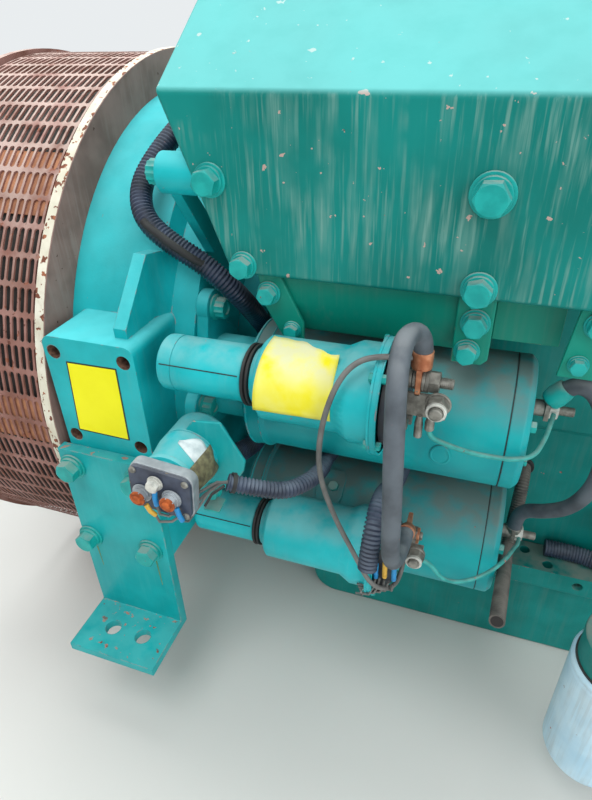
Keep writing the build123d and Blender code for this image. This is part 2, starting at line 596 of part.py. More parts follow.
with BuildPart() as oil_pan:
    block(PAN_X0 + 6, BLOCK_END_X, -PAN_Y, PAN_Y, PAN_LOW_Z, RAIL_LOW_Z)
    fillet(oil_pan.edges().filter_by(Axis.Y).group_by(Axis.Z)[0].sort_by(Axis.X)[0], PAN_CORNER_R)
save(oil_pan, "oil_pan")

# Grommets where looms leave the block
loom_x = HOUSING_LEN - GROMMET_T
up_exit_y = -WALL_UP_Y - GROMMET_T
low_exit_y = -WALL_Y - GROMMET_T
with BuildPart() as cable_grommets:
    disc(-60, 372, loom_x, HOUSING_LEN, MAIN_LOOM_D / 2 + GROMMET_RIM)
    bar_y(318, -10, up_exit_y, -WALL_UP_Y, RELAY_LOOM_D / 2 + GROMMET_RIM)
    bar_y(392, -50, low_exit_y, -WALL_Y, TERMINAL_CONDUIT_D / 2 + GROMMET_RIM)
    bar_y(541, -95, low_exit_y, -WALL_Y, STUB_HOSE_D / 2 + GROMMET_RIM)
    bar_y(752, -196, low_exit_y, -WALL_Y, MAIN_LOOM_D / 2 + GROMMET_RIM)
save(cable_grommets, "cable_grommets")


def cord(name, diameter, points):
    """Write a cable as straight runs joined by tangent arcs."""
    corners = [Vector(*point) for point in points]
    radii = []
    for before, corner, after in zip(corners, corners[1:], corners[2:]):
        run_in = corner - before
        run_out = after - corner
        turn = math.radians(run_in.get_angle(run_out))
        radii.append(0.45 * min(run_in.length, run_out.length) / math.tan(turn / 2))
    with BuildPart() as tube:
        with BuildLine() as route:
            FilletPolyline(*corners, radius=radii)
        with BuildSketch(Plane(origin=corners[0], z_dir=corners[1] - corners[0])) as section:
            Circle(diameter / 2)
        sweep(section.sketch, path=route.wire())
    length = route.wire().length
    stated = length * math.pi * diameter * diameter / 4
    print(name, "length", round(length), "volume ratio", round(tube.part.volume / stated, 4),
          "radii in diameters", [round(radius / diameter, 1) for radius in radii])
    save(tube, name)


# Battery cable between the two solenoids and ground cable between the end caps
cord("jumper_cable", BATTERY_CABLE_D, [
    (lug_x, -377, UP_LUG_TOP_Z), (lug_x, -377, 204), (409, -398, 219), (400, -428, 208), (396, -442, 160),
    (396, -445, 95), (398, -446, 35), (402, -440, -18), (408, -424, -50), (lug_x, -396, LOW_LUG_Z_MID),
    (lug_x, LOW_LUG_FACE_Y, LOW_LUG_Z_MID)])
ground_end_x = GROUND_LUG_X + UP_LUG_DX * UP_LUG_LEN
ground_end_z = UP_LUG_START_Z + UP_LUG_DZ * UP_LUG_LEN
cord("ground_cable", BATTERY_CABLE_D, [
    (ground_end_x, UP_GROUND_Y, ground_end_z),
    (ground_end_x + UP_LUG_DX * GROUND_LEAD, UP_GROUND_Y, ground_end_z + UP_LUG_DZ * GROUND_LEAD),
    (571, -270, 109),
    (585, -271, 97), (596, -272, 70), (604, -272, 36), (607, -270, 0), (602, -264, -36), (588, -256, -68),
    (564, -244, -90), (547, -236, -100), (GROUND_LUG_X, LOW_GROUND_Y, -116),
    (GROUND_LUG_X, LOW_GROUND_Y, LOW_LUG_Z + LOW_LUG_LEN)])

# Corrugated looms and conduits
cord("main_loom", MAIN_LOOM_D, [
    (loom_x, -60, 372), (148, -60, 372), (131, -67, 371), (116, -92, 367), (104, -140, 353), (90, -192, 333),
    (66, -232, 304), (60, -262, 278), (80, -286, 252), (118, -292, 232), (158, -291, 210), (183, -288, 184),
    (196, -271, 156), (198, -247, 128), (196, -218, 100), (196, -199, 62), (197, -199, 15), (199, -215, -20),
    (200, -255, -38), (200, -305, -30), (197, -350, -8), (194, -386, 22), (194, bracket_y, 22)])
cord("relay_loom", RELAY_LOOM_D, [
    (247.6, -456, 51), (276.6, -440, 38.7), (308, -421, 29), (325, -393, 24), (326, -355, 8), (322, -300, -28),
    (319, -245, -38), (318, -192, -10), (318, up_exit_y, -10)])
cord("terminal_conduit", TERMINAL_CONDUIT_D, [
    (392, low_exit_y, -50), (392, -190, -50), (391, -240, -50), (391, -290, -42), (390, -335, -20),
    (388, -372, -9), (385, -402, -28), (378, -428, -75)])
cord("stub_hose", STUB_HOSE_D, [
    (541, low_exit_y, -95), (541, -178, -95), (540, -196, -124), (538, -208, -160), (536, -232, -180),
    (534, -272, -176), (531, -318, -152), (527, -388, -136)])
cord("rail_loom", MAIN_LOOM_D, [
    (592, -166, -224.2), (628, -164.6, -224.3), (666, -174, -223), (698, -194, -216), (727, -207, -206),
    (752, -184, -196), (752, low_exit_y, -196)])

# Thin wires
cord("signal_wire", SIGNAL_WIRE_D, [
    (lug_x - 8.9, -382.4, 178), (397, -388, 178), (384, -398, 184.5), (362, -409, 182), (347, -423, 163),
    (334, -428, 113), (331, -424, 56), (345, -409, -15), (368, -407, -66), (383, -405, -103), (397, -402, -115),
    (411, -384, -126), (lug_x, -360, -118), (lug_x, -360, -98)])
cord("upper_sense_wire", SENSE_WIRE_D, [
    (term_x + 25, -389, UP_SENSE_Z), (term_x + 25, -389, 100), (447, -389, 94), (469, -371, 76),
    (490, -359, 67), (509, -358, 67), (528, -350, 69), (537, -322, 71), (542, -298, 74), (545, -278.4, 75)])
cord("lower_sense_wire", SENSE_WIRE_D, [
    (438.3, -371.5, -86), (447, -372, -88), (459, -373, -106), (477, -361, -121), (497, -347, -123),
    (514, -337, -114), (524, -324, -111), (532, -304, -117), (539, -276, -130), (545, -256, -142),
    (546, -242.2, -145)])
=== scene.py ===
"""Blender scene of the coupling end of a diesel generator with twin starters.

Places are given in millimetres from the drawing datum near the front of the
flywheel housing, as the part's source has them, and at() turns them into
metres in the row frame: X along the crank into the engine, Y away from the
starters, Z up.
"""
import logging
import math
from dataclasses import dataclass, field
from enum import Enum
from functools import partial
from typing import Callable, Sequence

import bmesh
import bpy
from mathutils import Matrix, Vector


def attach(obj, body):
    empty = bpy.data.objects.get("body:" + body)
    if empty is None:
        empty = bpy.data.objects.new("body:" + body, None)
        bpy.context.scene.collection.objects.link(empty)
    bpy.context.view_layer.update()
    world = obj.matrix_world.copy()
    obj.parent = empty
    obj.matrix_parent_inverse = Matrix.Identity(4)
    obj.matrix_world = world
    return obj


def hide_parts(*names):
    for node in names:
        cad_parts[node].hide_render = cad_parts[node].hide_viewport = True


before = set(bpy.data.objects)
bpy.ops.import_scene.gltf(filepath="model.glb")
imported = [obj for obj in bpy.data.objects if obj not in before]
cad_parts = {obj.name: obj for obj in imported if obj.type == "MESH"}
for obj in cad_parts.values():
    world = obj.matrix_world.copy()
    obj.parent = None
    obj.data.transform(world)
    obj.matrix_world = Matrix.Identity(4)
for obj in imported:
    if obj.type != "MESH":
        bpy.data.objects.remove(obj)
logging.basicConfig(level=logging.INFO, format="%(message)s")
log = logging.getLogger("diesel_generator")

MM = 0.001
DATUM_X = 262.0
BODY = "root"
Point = tuple[float, float, float]
Outline = Sequence[tuple[float, float]]
Piece = bpy.types.Object
Tree = bpy.types.NodeTree
Node = bpy.types.Node
Socket = bpy.types.NodeSocket

# Ways that a face or a head looks: to the viewer, away, into the engine, out of it, and up
NEAR: Point = (0.0, -1.0, 0.0)
FAR: Point = (0.0, 1.0, 0.0)
AFT: Point = (1.0, 0.0, 0.0)
FORE: Point = (-1.0, 0.0, 0.0)
TOP: Point = (0.0, 0.0, 1.0)


def at(x: float, y: float, z: float) -> Vector:
    """Turn a place from the drawing datum into metres in the row frame.

    Args:
        x: Millimetres along the crank from the drawing datum.
        y: Millimetres across the crank.
        z: Millimetres above the crank.

    Returns:
        The same place in metres in the row frame.
    """
    return Vector(((x + DATUM_X) * MM, y * MM, z * MM))


def linear(hex_colour: str) -> tuple[float, float, float, float]:
    """Turn an sRGB hex colour into linear values.

    Args:
        hex_colour: Six hex digits.

    Returns:
        Red, green, blue and alpha in linear light.
    """
    levels = [int(hex_colour[i:i + 2], 16) / 255 for i in (0, 2, 4)]
    values = [v / 12.92 if v <= 0.04045 else ((v + 0.055) / 1.055) ** 2.4 for v in levels]
    return (values[0], values[1], values[2], 1.0)


def add_node(tree: Tree, kind: str, inputs: dict | None = None, **settings: object) -> Node:
    """Add one node with its settings, constants and links.

    Args:
        tree: The tree that takes the node.
        kind: The node's type name.
        inputs: Constants, output sockets, or nodes for their first output, by input name or index.
        **settings: Properties of the node.

    Returns:
        The new node.
    """
    node = tree.nodes.new(kind)
    for name, value in settings.items():
        setattr(node, name, value)
    for key, value in (inputs or {}).items():
        socket = node.inputs[key]
        if isinstance(value, Node):
            value = value.outputs[0]
        if isinstance(value, Socket):
            tree.links.new(value, socket)
        else:
            socket.default_value = value
    return node


def turns(sides: int) -> list[float]:
    """Give the angles of even steps round one full turn, in radians."""
    return [2 * math.pi * i / sides for i in range(sides)]


def placed(name: str, data: bpy.types.ID) -> Piece:
    """Put new data into the scene.

    Args:
        name: Name of the object.
        data: Its mesh, curve, lamp or camera.

    Returns:
        The new object, at the origin.
    """
    piece = bpy.data.objects.new(name, data)
    bpy.context.scene.collection.objects.link(piece)
    return piece


@dataclass(frozen=True)
class Weather:
    """How dust, chips, dirt runs and a painted sky highlight on tops lie on a painted surface.

    Attributes:
        dust_and_highlight: Most dust on faces that look up, from 0 to 1; on the pale cyan coats the same
            layer is a painted sky highlight.
        chips: Share of the paint that is chipped through.
        edges: How far worn edges show primer, from 0 to 1.
        runs: Strength of the dirt runs down upright faces.
        rust: Share of a chip that has rusted.
        tops: True where only faces that look up are chipped.
        even: Least cover of the dust and painted highlight between its patches.
    """

    dust_and_highlight: float
    chips: float = 0.0
    edges: float = 0.0
    runs: float = 0.0
    rust: float = 0.3
    tops: bool = False
    even: float = 0.0


@dataclass(frozen=True)
class Finish:
    """A solid finish with fine mottling, grain and optional weathering.

    Attributes:
        name: The material's real name.
        low: Hex colour of its darker patches.
        high: Hex colour of its lighter patches.
        roughness: Roughness of the clean surface.
        metallic: One for bare metal.
        specular: How strongly the surface shines, 0.5 for clean enamel.
        grain_mm: Size of the surface grain. One really finer than 0.6 mm is drawn that coarse, to show.
        grain: Height of the grain in millimetres.
        patch_mm: Size of the colour patches.
        edge_mm: Radius that rounds the edges of plain solids.
        weather: Dust and wear, with a painted sky highlight on the tops of some coats, or none for a clean
            finish.
        dust_and_highlight_hex: Hex colour of the dust on faces that look up; where it is pale cyan it is a
            painted sky highlight.
        primer_hex: Hex colour in the chips.
        rust_hex: Hex colour of the rust.
        run_hex: Hex colour of the dirt runs, or empty for the colour of the dust and highlight.
    """

    name: str
    low: str
    high: str
    roughness: float = 0.5
    metallic: float = 0.0
    specular: float = 0.5
    grain_mm: float = 2.0
    grain: float = 0.05
    patch_mm: float = 60.0
    edge_mm: float = 0.0
    weather: Weather | None = None
    dust_and_highlight_hex: str = "8C8A80"
    primer_hex: str = "A9706C"
    rust_hex: str = "6E3F2C"
    run_hex: str = ""

    def build(self) -> bpy.types.Material:
        """Make the material, or return the one already made.

        Returns:
            The finished material.
        """
        made = bpy.data.materials.get(self.name)
        if made:
            return made
        material = bpy.data.materials.new(self.name)
        material.use_nodes = True
        tree = material.node_tree
        tree.nodes.clear()
        place = add_node(tree, "ShaderNodeTexCoord").outputs["Object"]
        colour = self.layer(tree, linear(self.low), linear(self.high),
                            self.field(tree, place, self.patch_mm, 5), 0.3, 0.7)
        rough = add_node(tree, "ShaderNodeMapRange", {
            "Value": self.field(tree, place, self.patch_mm * 0.4, 3),
            "To Min": self.roughness - 0.07, "To Max": self.roughness + 0.09}).outputs[0]
        if self.weather:
            colour, rough = self.weathered(tree, place, colour, rough)
        base = {"Height": self.field(tree, place, self.grain_mm, 4), "Distance": self.grain * MM,
                "Strength": 1.0}
        if self.edge_mm:
            base["Normal"] = add_node(tree, "ShaderNodeBevel", {"Radius": self.edge_mm * MM},
                                      samples=4).outputs[0]
        bump = add_node(tree, "ShaderNodeBump", base)
        shader = add_node(tree, "ShaderNodeBsdfPrincipled", {
            "Base Color": colour, "Roughness": rough, "Metallic": self.metallic,
            "Specular IOR Level": self.specular, "Normal": bump.outputs[0]})
        add_node(tree, "ShaderNodeOutputMaterial", {"Surface": shader.outputs[0]})
        return material

    def field(self, tree: Tree, place: Socket, size_mm: float, detail: float,
              squeeze: Point = (1.0, 1.0, 1.0)) -> Socket:
        """Give a random field whose features have a real size.

        Args:
            tree: The material's tree.
            place: The coordinates it reads.
            size_mm: Size of its features.
            detail: Octaves of finer detail.
            squeeze: Scale along each axis, below one for long features.

        Returns:
            The field's value, about 0.3 to 0.7.
        """
        scaled = add_node(tree, "ShaderNodeMapping", {"Vector": place, "Scale": squeeze}).outputs[0]
        return add_node(tree, "ShaderNodeTexNoise", {
            "Vector": scaled, "Scale": 1.0 / (size_mm * MM), "Detail": detail}).outputs[0]

    def layer(self, tree: Tree, below: object, above: object, value: Socket,
              low: float, high: float, amount: float = 1.0, within: object = 1.0) -> Socket:
        """Lay one colour over another where a value rises between two limits.

        Args:
            tree: The material's tree.
            below: The lower colour.
            above: The upper colour.
            value: The value that says where it lies.
            low: Where the layer starts.
            high: Where the layer is full.
            amount: How much the full layer hides.
            within: A second mask that bounds the layer.

        Returns:
            The colour with the layer on it.
        """
        mask = add_node(tree, "ShaderNodeMapRange", {
            "Value": value, "From Min": low, "From Max": high, "To Max": amount},
            interpolation_type="SMOOTHSTEP").outputs[0]
        mask = add_node(tree, "ShaderNodeMath", {0: mask, 1: within}, operation="MULTIPLY").outputs[0]
        return add_node(tree, "ShaderNodeMix", {0: mask, 6: below, 7: above}, data_type="RGBA").outputs[2]

    def weathered(self, tree: Tree, place: Socket, colour: Socket,
                  rough: Socket) -> tuple[Socket, Socket]:
        """Lay chips, worn edges, dirt runs and settled dust over the paint, the dust being a painted sky
        highlight on the pale cyan coats.

        Args:
            tree: The material's tree.
            place: The coordinates it reads.
            colour: The clean colour.
            rough: The clean roughness.

        Returns:
            The weathered colour and roughness.
        """
        wear = self.weather
        add = partial(add_node, tree)
        facing = add("ShaderNodeNewGeometry").outputs["Normal"]
        up = add("ShaderNodeSeparateXYZ", {0: facing}).outputs[2]
        level = add("ShaderNodeMath", {0: up}, operation="ABSOLUTE").outputs[0]
        upright = add("ShaderNodeMapRange", {
            "Value": level, "From Min": 0.25, "From Max": 0.7, "To Min": 1.0, "To Max": 0.0}).outputs[0]
        patches = add("ShaderNodeMapRange", {
            "Value": self.field(tree, place, 80.0, 3), "From Min": 0.36, "From Max": 0.56}).outputs[0]
        within = add("ShaderNodeMath", {0: patches, 1: upright}, operation="MULTIPLY").outputs[0]
        for width, length, share in ((4.0, 0.05, 1.0), (12.0, 0.09, 0.7)):
            runs = self.field(tree, place, width, 3, (1.0, 1.0, length))
            colour = self.layer(tree, colour, linear(self.run_hex or self.dust_and_highlight_hex), runs, 0.49, 0.68,
                                wear.runs * share, within)
        chip = self.layer(tree, linear(self.primer_hex), linear(self.rust_hex),
                          self.field(tree, place, 11.0, 3), 0.62 - wear.rust * 0.3, 0.68 - wear.rust * 0.3)
        start = 0.74 - wear.chips * 2.2
        bare = add("ShaderNodeMapRange", {
            "Value": up, "From Min": 0.3, "From Max": 0.8, "To Min": 0.0 if wear.tops else 1.0}).outputs[0]
        colour = self.layer(tree, colour, chip, self.field(tree, place, 9.0, 6), start, start + 0.015,
                            within=bare)
        if wear.edges and self.edge_mm:
            soft = add("ShaderNodeBevel", {"Radius": 1.8 * MM}, samples=4).outputs[0]
            bend = add("ShaderNodeVectorMath", {
                0: soft, 1: facing}, operation="DOT_PRODUCT").outputs["Value"]
            ragged = add("ShaderNodeMapRange", {
                "Value": self.field(tree, place, 16.0, 6), "From Min": 0.60 - 0.14 * wear.edges,
                "From Max": 0.66 - 0.14 * wear.edges}).outputs[0]
            colour = self.layer(tree, colour, chip, bend, 0.985, 0.90, within=ragged)
        cover = add("ShaderNodeMapRange", {
            "Value": self.field(tree, place, 26.0, 6), "From Min": 0.30, "From Max": 0.56,
            "To Min": wear.even}).outputs[0]
        # Faces that look up take the top colour: dust on most coats, a painted pale cyan sky highlight on
        # the casting, sheet and plate coats
        colour = self.layer(tree, colour, linear(self.dust_and_highlight_hex), up, 0.28, 0.92, wear.dust_and_highlight, cover)
        rough = add("ShaderNodeMapRange", {
            "Value": up, "From Min": 0.2, "From Max": 1.0, "To Min": rough, "To Max": 0.85}).outputs[0]
        return colour, rough


class Teal(Enum):
    """Named coats of the engine's alkyd enamel, sprayed over castings and sheet."""

    # Sprayed gloss enamel on grey iron castings: even colour, soft shine, and a pale cyan painted sky
    # highlight, partly dust, on faces that look up
    CASTING = Finish(
        "enamel_on_iron_casting", "0A9DA2", "17B5BB", 0.36, specular=0.25, grain_mm=2.4, grain=0.12,
        edge_mm=1.6, weather=Weather(dust_and_highlight=0.45, chips=0.008, edges=0.5, runs=0.08, even=0.7),
        dust_and_highlight_hex="6FD2D6", run_hex="6FA59E")
    # The same enamel on folded sheet: a pale cyan painted sky highlight, partly dust, on top, with
    # grey-green runs where rain ran down
    SHEET = Finish(
        "enamel_on_folded_sheet", "046E66", "0A837C", 0.38, specular=0.2, grain_mm=5.0, grain=0.05,
        edge_mm=2.5, patch_mm=120.0,
        weather=Weather(dust_and_highlight=0.46, chips=0.024, edges=0.5, runs=0.5, rust=0.0, even=0.9),
        dust_and_highlight_hex="8FE6E6", primer_hex="B79C92", run_hex="7FA69C")
    # Enamel on the folded rail, in shade and nearly clean: a deeper, greener teal
    RAIL = Finish(
        "enamel_on_folded_rail", "057E6C", "088A77", 0.38, specular=0.25, grain_mm=5.0, grain=0.04,
        edge_mm=1.5, patch_mm=120.0, weather=Weather(dust_and_highlight=0.35, edges=0.2, runs=0.06))
    # Enamel on the thick plate of the feet: chipped to primer and rust on top and along the edges, with a
    # faint pale cyan painted sky highlight, partly dust, on top
    PLATE = Finish(
        "enamel_on_steel_plate", "08979A", "15AAAC", 0.40, specular=0.3, grain_mm=3.0, grain=0.05,
        edge_mm=1.4, weather=Weather(dust_and_highlight=0.2, chips=0.05, edges=0.9, runs=0.05, tops=True),
        dust_and_highlight_hex="7FC8C4", primer_hex="A87868")
    # Enamel on turned starter frames: smooth, under a film of grey dust
    STARTER = Finish(
        "enamel_on_turned_steel", "07949A", "10A5A8", 0.40, specular=0.25, grain_mm=4.0, grain=0.03,
        edge_mm=1.0, weather=Weather(dust_and_highlight=0.80, chips=0.004, edges=0.3, runs=0.06, even=0.3),
        dust_and_highlight_hex="747B76")
    # Enamel on drawn cans: the brightest teal, with a little pale dust on top
    CAN = Finish(
        "enamel_on_drawn_can", "0BA6AC", "17BBC2", 0.34, specular=0.3, grain_mm=4.0, grain=0.03,
        edge_mm=1.0, weather=Weather(dust_and_highlight=0.34, chips=0.005, edges=0.4, runs=0.05), dust_and_highlight_hex="A9BDB8")
    # Enamel on the rough block and pan: darker and duller, with a coarse skin
    BLOCK = Finish(
        "enamel_on_block_casting", "04756F", "09857F", 0.45, specular=0.25, grain_mm=3.5, grain=0.18,
        edge_mm=2.0, weather=Weather(dust_and_highlight=0.6, chips=0.003, edges=0.25, runs=0.06))
    # Plated bolts sprayed with the engine: the same teal, grey with dust on their upper sides
    HARDWARE = Finish(
        "enamel_on_zinc_bolts", "0B938E", "1AA8A2", 0.36, specular=0.3, grain_mm=1.2, grain=0.03,
        patch_mm=14.0, weather=Weather(dust_and_highlight=0.75, chips=0.012, rust=0.7), dust_and_highlight_hex="9AA79F",
        rust_hex="7A4A33")


class Stock(Enum):
    """The other materials of the assembly."""

    # Mild steel plate with a brown oxide skin, chalky and dull
    RING = Finish(
        "oxidised_steel_plate", "765A52", "91726A", 0.78, grain_mm=1.6, grain=0.08, patch_mm=45.0,
        edge_mm=0.8, weather=Weather(dust_and_highlight=0.3, chips=0.02, runs=0.3, rust=0.8), dust_and_highlight_hex="9C857D",
        primer_hex="7C4A35", rust_hex="4A2A20")
    # Old cream paint that flakes off the ring's rim
    RIM = Finish(
        "flaking_cream_paint", "CFC9B4", "E6E1D0", 0.6, grain_mm=1.5, grain=0.08, patch_mm=30.0,
        weather=Weather(dust_and_highlight=0.1, chips=0.075, runs=0.25, rust=0.6), dust_and_highlight_hex="B08A66",
        primer_hex="9A5B3A", rust_hex="6E3B26")
    # Punched sheet in oxide primer: matt pinkish brown, gone pale on top
    SCREEN = Finish(
        "primed_perforated_sheet", "7B4F42", "9C7168", 0.72, grain_mm=1.2, grain=0.05, patch_mm=40.0,
        weather=Weather(dust_and_highlight=0.6, chips=0.045, rust=0.5), dust_and_highlight_hex="CDBBB0", primer_hex="8A4F38",
        rust_hex="5E3021")
    # Bare sheet doubled behind the screen: an even, dull rust brown
    STRIP = Finish("rusted_backing_strip", "8A5A40", "B27A58", 0.8, grain_mm=1.4, grain=0.06, patch_mm=18.0)
    # Mill scale and rust in the pads' bare bores: dark, rough and without shine
    SCALE = Finish("rust_scale_in_bores", "4A352B", "7D5A48", 0.9, grain_mm=1.2, grain=0.2, patch_mm=5.0)
    # Thin brown-green runs that wept from the foot bolts
    WEEP = Finish("rust_weep_on_enamel", "3F8A68", "7A8A52", 0.6, specular=0.2, patch_mm=9.0)
    # Dry iron of the fan and disc, darkened to nearly black as painted shade so that the slots read dark;
    # the hoop behind the slots and the hose mouth use it as painted shade alone
    IRON = Finish(
        "dry_grey_iron", "1B1817", "2B2725", 0.8, grain_mm=2.0, grain=0.1, edge_mm=1.0,
        weather=Weather(dust_and_highlight=0.25, chips=0.02, rust=0.9))
    # Moulded chloroprene boots and grommets: black, matt, slightly bloomed
    RUBBER = Finish(
        "moulded_black_rubber", "101112", "1E2022", 0.6, grain_mm=1.0, grain=0.03, patch_mm=20.0,
        weather=Weather(dust_and_highlight=0.12), primer_hex="26282A")
    # Moulded phenolic of the terminal caps: dark slate, dulled by dust
    PHENOLIC = Finish(
        "moulded_phenolic", "22252B", "333841", 0.55, grain_mm=0.8, grain=0.02, patch_mm=18.0,
        edge_mm=0.8, weather=Weather(dust_and_highlight=0.35, chips=0.02, rust=0.0), primer_hex="55524C",
        dust_and_highlight_hex="77736A")
    # Weathered moulding of the relay's cap: dark grey-blue with brown specks
    RELAY_CAP = Finish(
        "weathered_relay_moulding", "2E3444", "434B5E", 0.5, grain_mm=0.7, grain=0.02, patch_mm=14.0,
        weather=Weather(dust_and_highlight=0.2, chips=0.03, rust=0.0), primer_hex="6B5F52", dust_and_highlight_hex="8A8578")
    # Zinc-plated steel: a dulled grey metal with rusty specks
    ZINC = Finish(
        "dull_zinc_plate", "6E6C66", "98968F", 0.42, metallic=0.75, grain_mm=0.8, grain=0.02,
        patch_mm=8.0, weather=Weather(dust_and_highlight=0.3, chips=0.02, rust=0.8), primer_hex="7B5A45",
        rust_hex="6B3F28")
    # Bright zinc on the newer nuts and collars: pale and nearly white
    BRIGHT_ZINC = Finish(
        "bright_zinc_plate", "B4B4AE", "DDDCD4", 0.35, metallic=0.35, grain_mm=0.8, grain=0.02,
        patch_mm=7.0, weather=Weather(dust_and_highlight=0.3))
    # Die-cast aluminium alloy of the relay's flange: pale grey with a soft sheen
    ALLOY = Finish(
        "cast_aluminium_alloy", "9AA0A6", "B8BEC3", 0.5, metallic=0.6, grain_mm=1.0, grain=0.05,
        patch_mm=15.0, edge_mm=0.8, weather=Weather(dust_and_highlight=0.25))
    # Copper lugs: warm pink-brown metal under a dull skin
    COPPER = Finish(
        "tinned_copper_lug", "A9684A", "CC8F6C", 0.45, metallic=0.75, grain_mm=0.8, grain=0.02,
        patch_mm=9.0, weather=Weather(dust_and_highlight=0.3, chips=0.03, rust=0.2), primer_hex="7A8C82",
        rust_hex="5A4034")
    # Rusted studs of the relay: orange-brown and matt
    STUD = Finish(
        "rusted_stud", "8A4526", "BC6030", 0.7, specular=0.2, grain_mm=0.8, grain=0.06, patch_mm=6.0)
    # Cross-linked rubber battery cable, chalky grey
    CABLE = Finish(
        "weathered_cable_rubber", "3E444B", "5B636B", 0.62, grain_mm=1.5, grain=0.03, patch_mm=35.0,
        weather=Weather(dust_and_highlight=0.55), dust_and_highlight_hex="8B8E90")
    # Split corrugated conduit, extruded dark polyamide with a blue cast
    CONDUIT = Finish(
        "extruded_conduit_polyamide", "151C29", "28324A", 0.36, grain_mm=0.8, grain=0.01, patch_mm=25.0,
        weather=Weather(dust_and_highlight=0.3), dust_and_highlight_hex="66707E")
    # The same conduit on the starters, a little dustier on its ridges
    DUSTY_CONDUIT = Finish(
        "dusty_conduit_polyamide", "1B2436", "303C52", 0.40, grain_mm=0.8, grain=0.01, patch_mm=25.0,
        weather=Weather(dust_and_highlight=0.5), dust_and_highlight_hex="7D8794")
    # Old hose gone brown and chalky
    OLD_HOSE = Finish(
        "chalky_brown_hose", "3B3A38", "5F5B55", 0.7, grain_mm=1.0, grain=0.03, patch_mm=20.0,
        weather=Weather(dust_and_highlight=0.5), dust_and_highlight_hex="837E76")
    # Extruded vinyl sheath of the thin wires: plain grey with a dull shine
    SHEATH = Finish("grey_wire_sheath", "5A5A58", "747370", 0.55, grain_mm=0.8, grain=0.01, patch_mm=20.0)
    # The same sheath sprayed over with the engine: dusty teal
    TEAL_SHEATH = Finish(
        "painted_wire_sheath", "178A84", "3AA7A0", 0.5, grain_mm=0.8, grain=0.01, patch_mm=14.0,
        weather=Weather(dust_and_highlight=0.4, chips=0.02))
    # Moulded vinyl sleeve of a crimp: clean bright blue
    BLUE_CRIMP = Finish("blue_vinyl_crimp", "1277B4", "2390CC", 0.4, grain_mm=0.6, grain=0.01, patch_mm=8.0)
    # The same sleeve in ochre yellow
    YELLOW_CRIMP = Finish(
        "yellow_vinyl_crimp", "C99A2E", "DDB04A", 0.45, grain_mm=0.6, grain=0.01, patch_mm=8.0)
    # Vinyl film: flat, even yellow with a soft shine
    STICKER = Finish(
        "yellow_vinyl_film", "F2EA08", "F7F01A", 0.42, specular=0.2, grain_mm=6.0, grain=0.04,
        patch_mm=40.0)
    # The same film, sun-faded and slightly puckered, with pale dust on top
    WORN_STICKER = Finish(
        "faded_vinyl_film", "F0E20C", "EFE86A", 0.5, specular=0.25, grain_mm=7.0, grain=0.1,
        patch_mm=30.0, weather=Weather(dust_and_highlight=0.62), dust_and_highlight_hex="D6D7CF")
    # Uncoated paper label: matt, cold white
    PAPER = Finish("torn_paper_label", "B5C0C2", "DDE2E2", 0.7, grain_mm=1.2, grain=0.05, patch_mm=10.0)
    # Dried glue with dirt in it: a dull, crusty olive brown
    GLUE = Finish("dried_glue_and_dirt", "5A5340", "86805E", 0.9, grain_mm=1.2, grain=0.25, patch_mm=7.0)
    # White powder-coated canister with a cold cast
    CANISTER = Finish(
        "powder_coated_canister", "AFD6EA", "D2ECF8", 0.34, grain_mm=3.0, grain=0.02, patch_mm=70.0,
        weather=Weather(dust_and_highlight=0.1, chips=0.004, runs=0.2))

Coat = Teal | Stock


def wear(piece: Piece, finish: Coat) -> None:
    """Give a piece one material.

    Args:
        piece: A mesh or curve object.
        finish: The finish that it takes.
    """
    piece.data.materials.clear()
    piece.data.materials.append(finish.value.build())


def settle(piece: Piece, finish: Coat, node: str = "") -> Piece:
    """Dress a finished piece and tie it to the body.

    Args:
        piece: The finished object.
        finish: The finish that it takes.
        node: The CAD node that it stands for, where it does.

    Returns:
        The same object.
    """
    if node:
        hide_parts(node)
    wear(piece, finish)
    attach(piece, BODY)
    log.info("%s: %d vertices", piece.name, len(getattr(piece.data, "vertices", ())))
    return piece


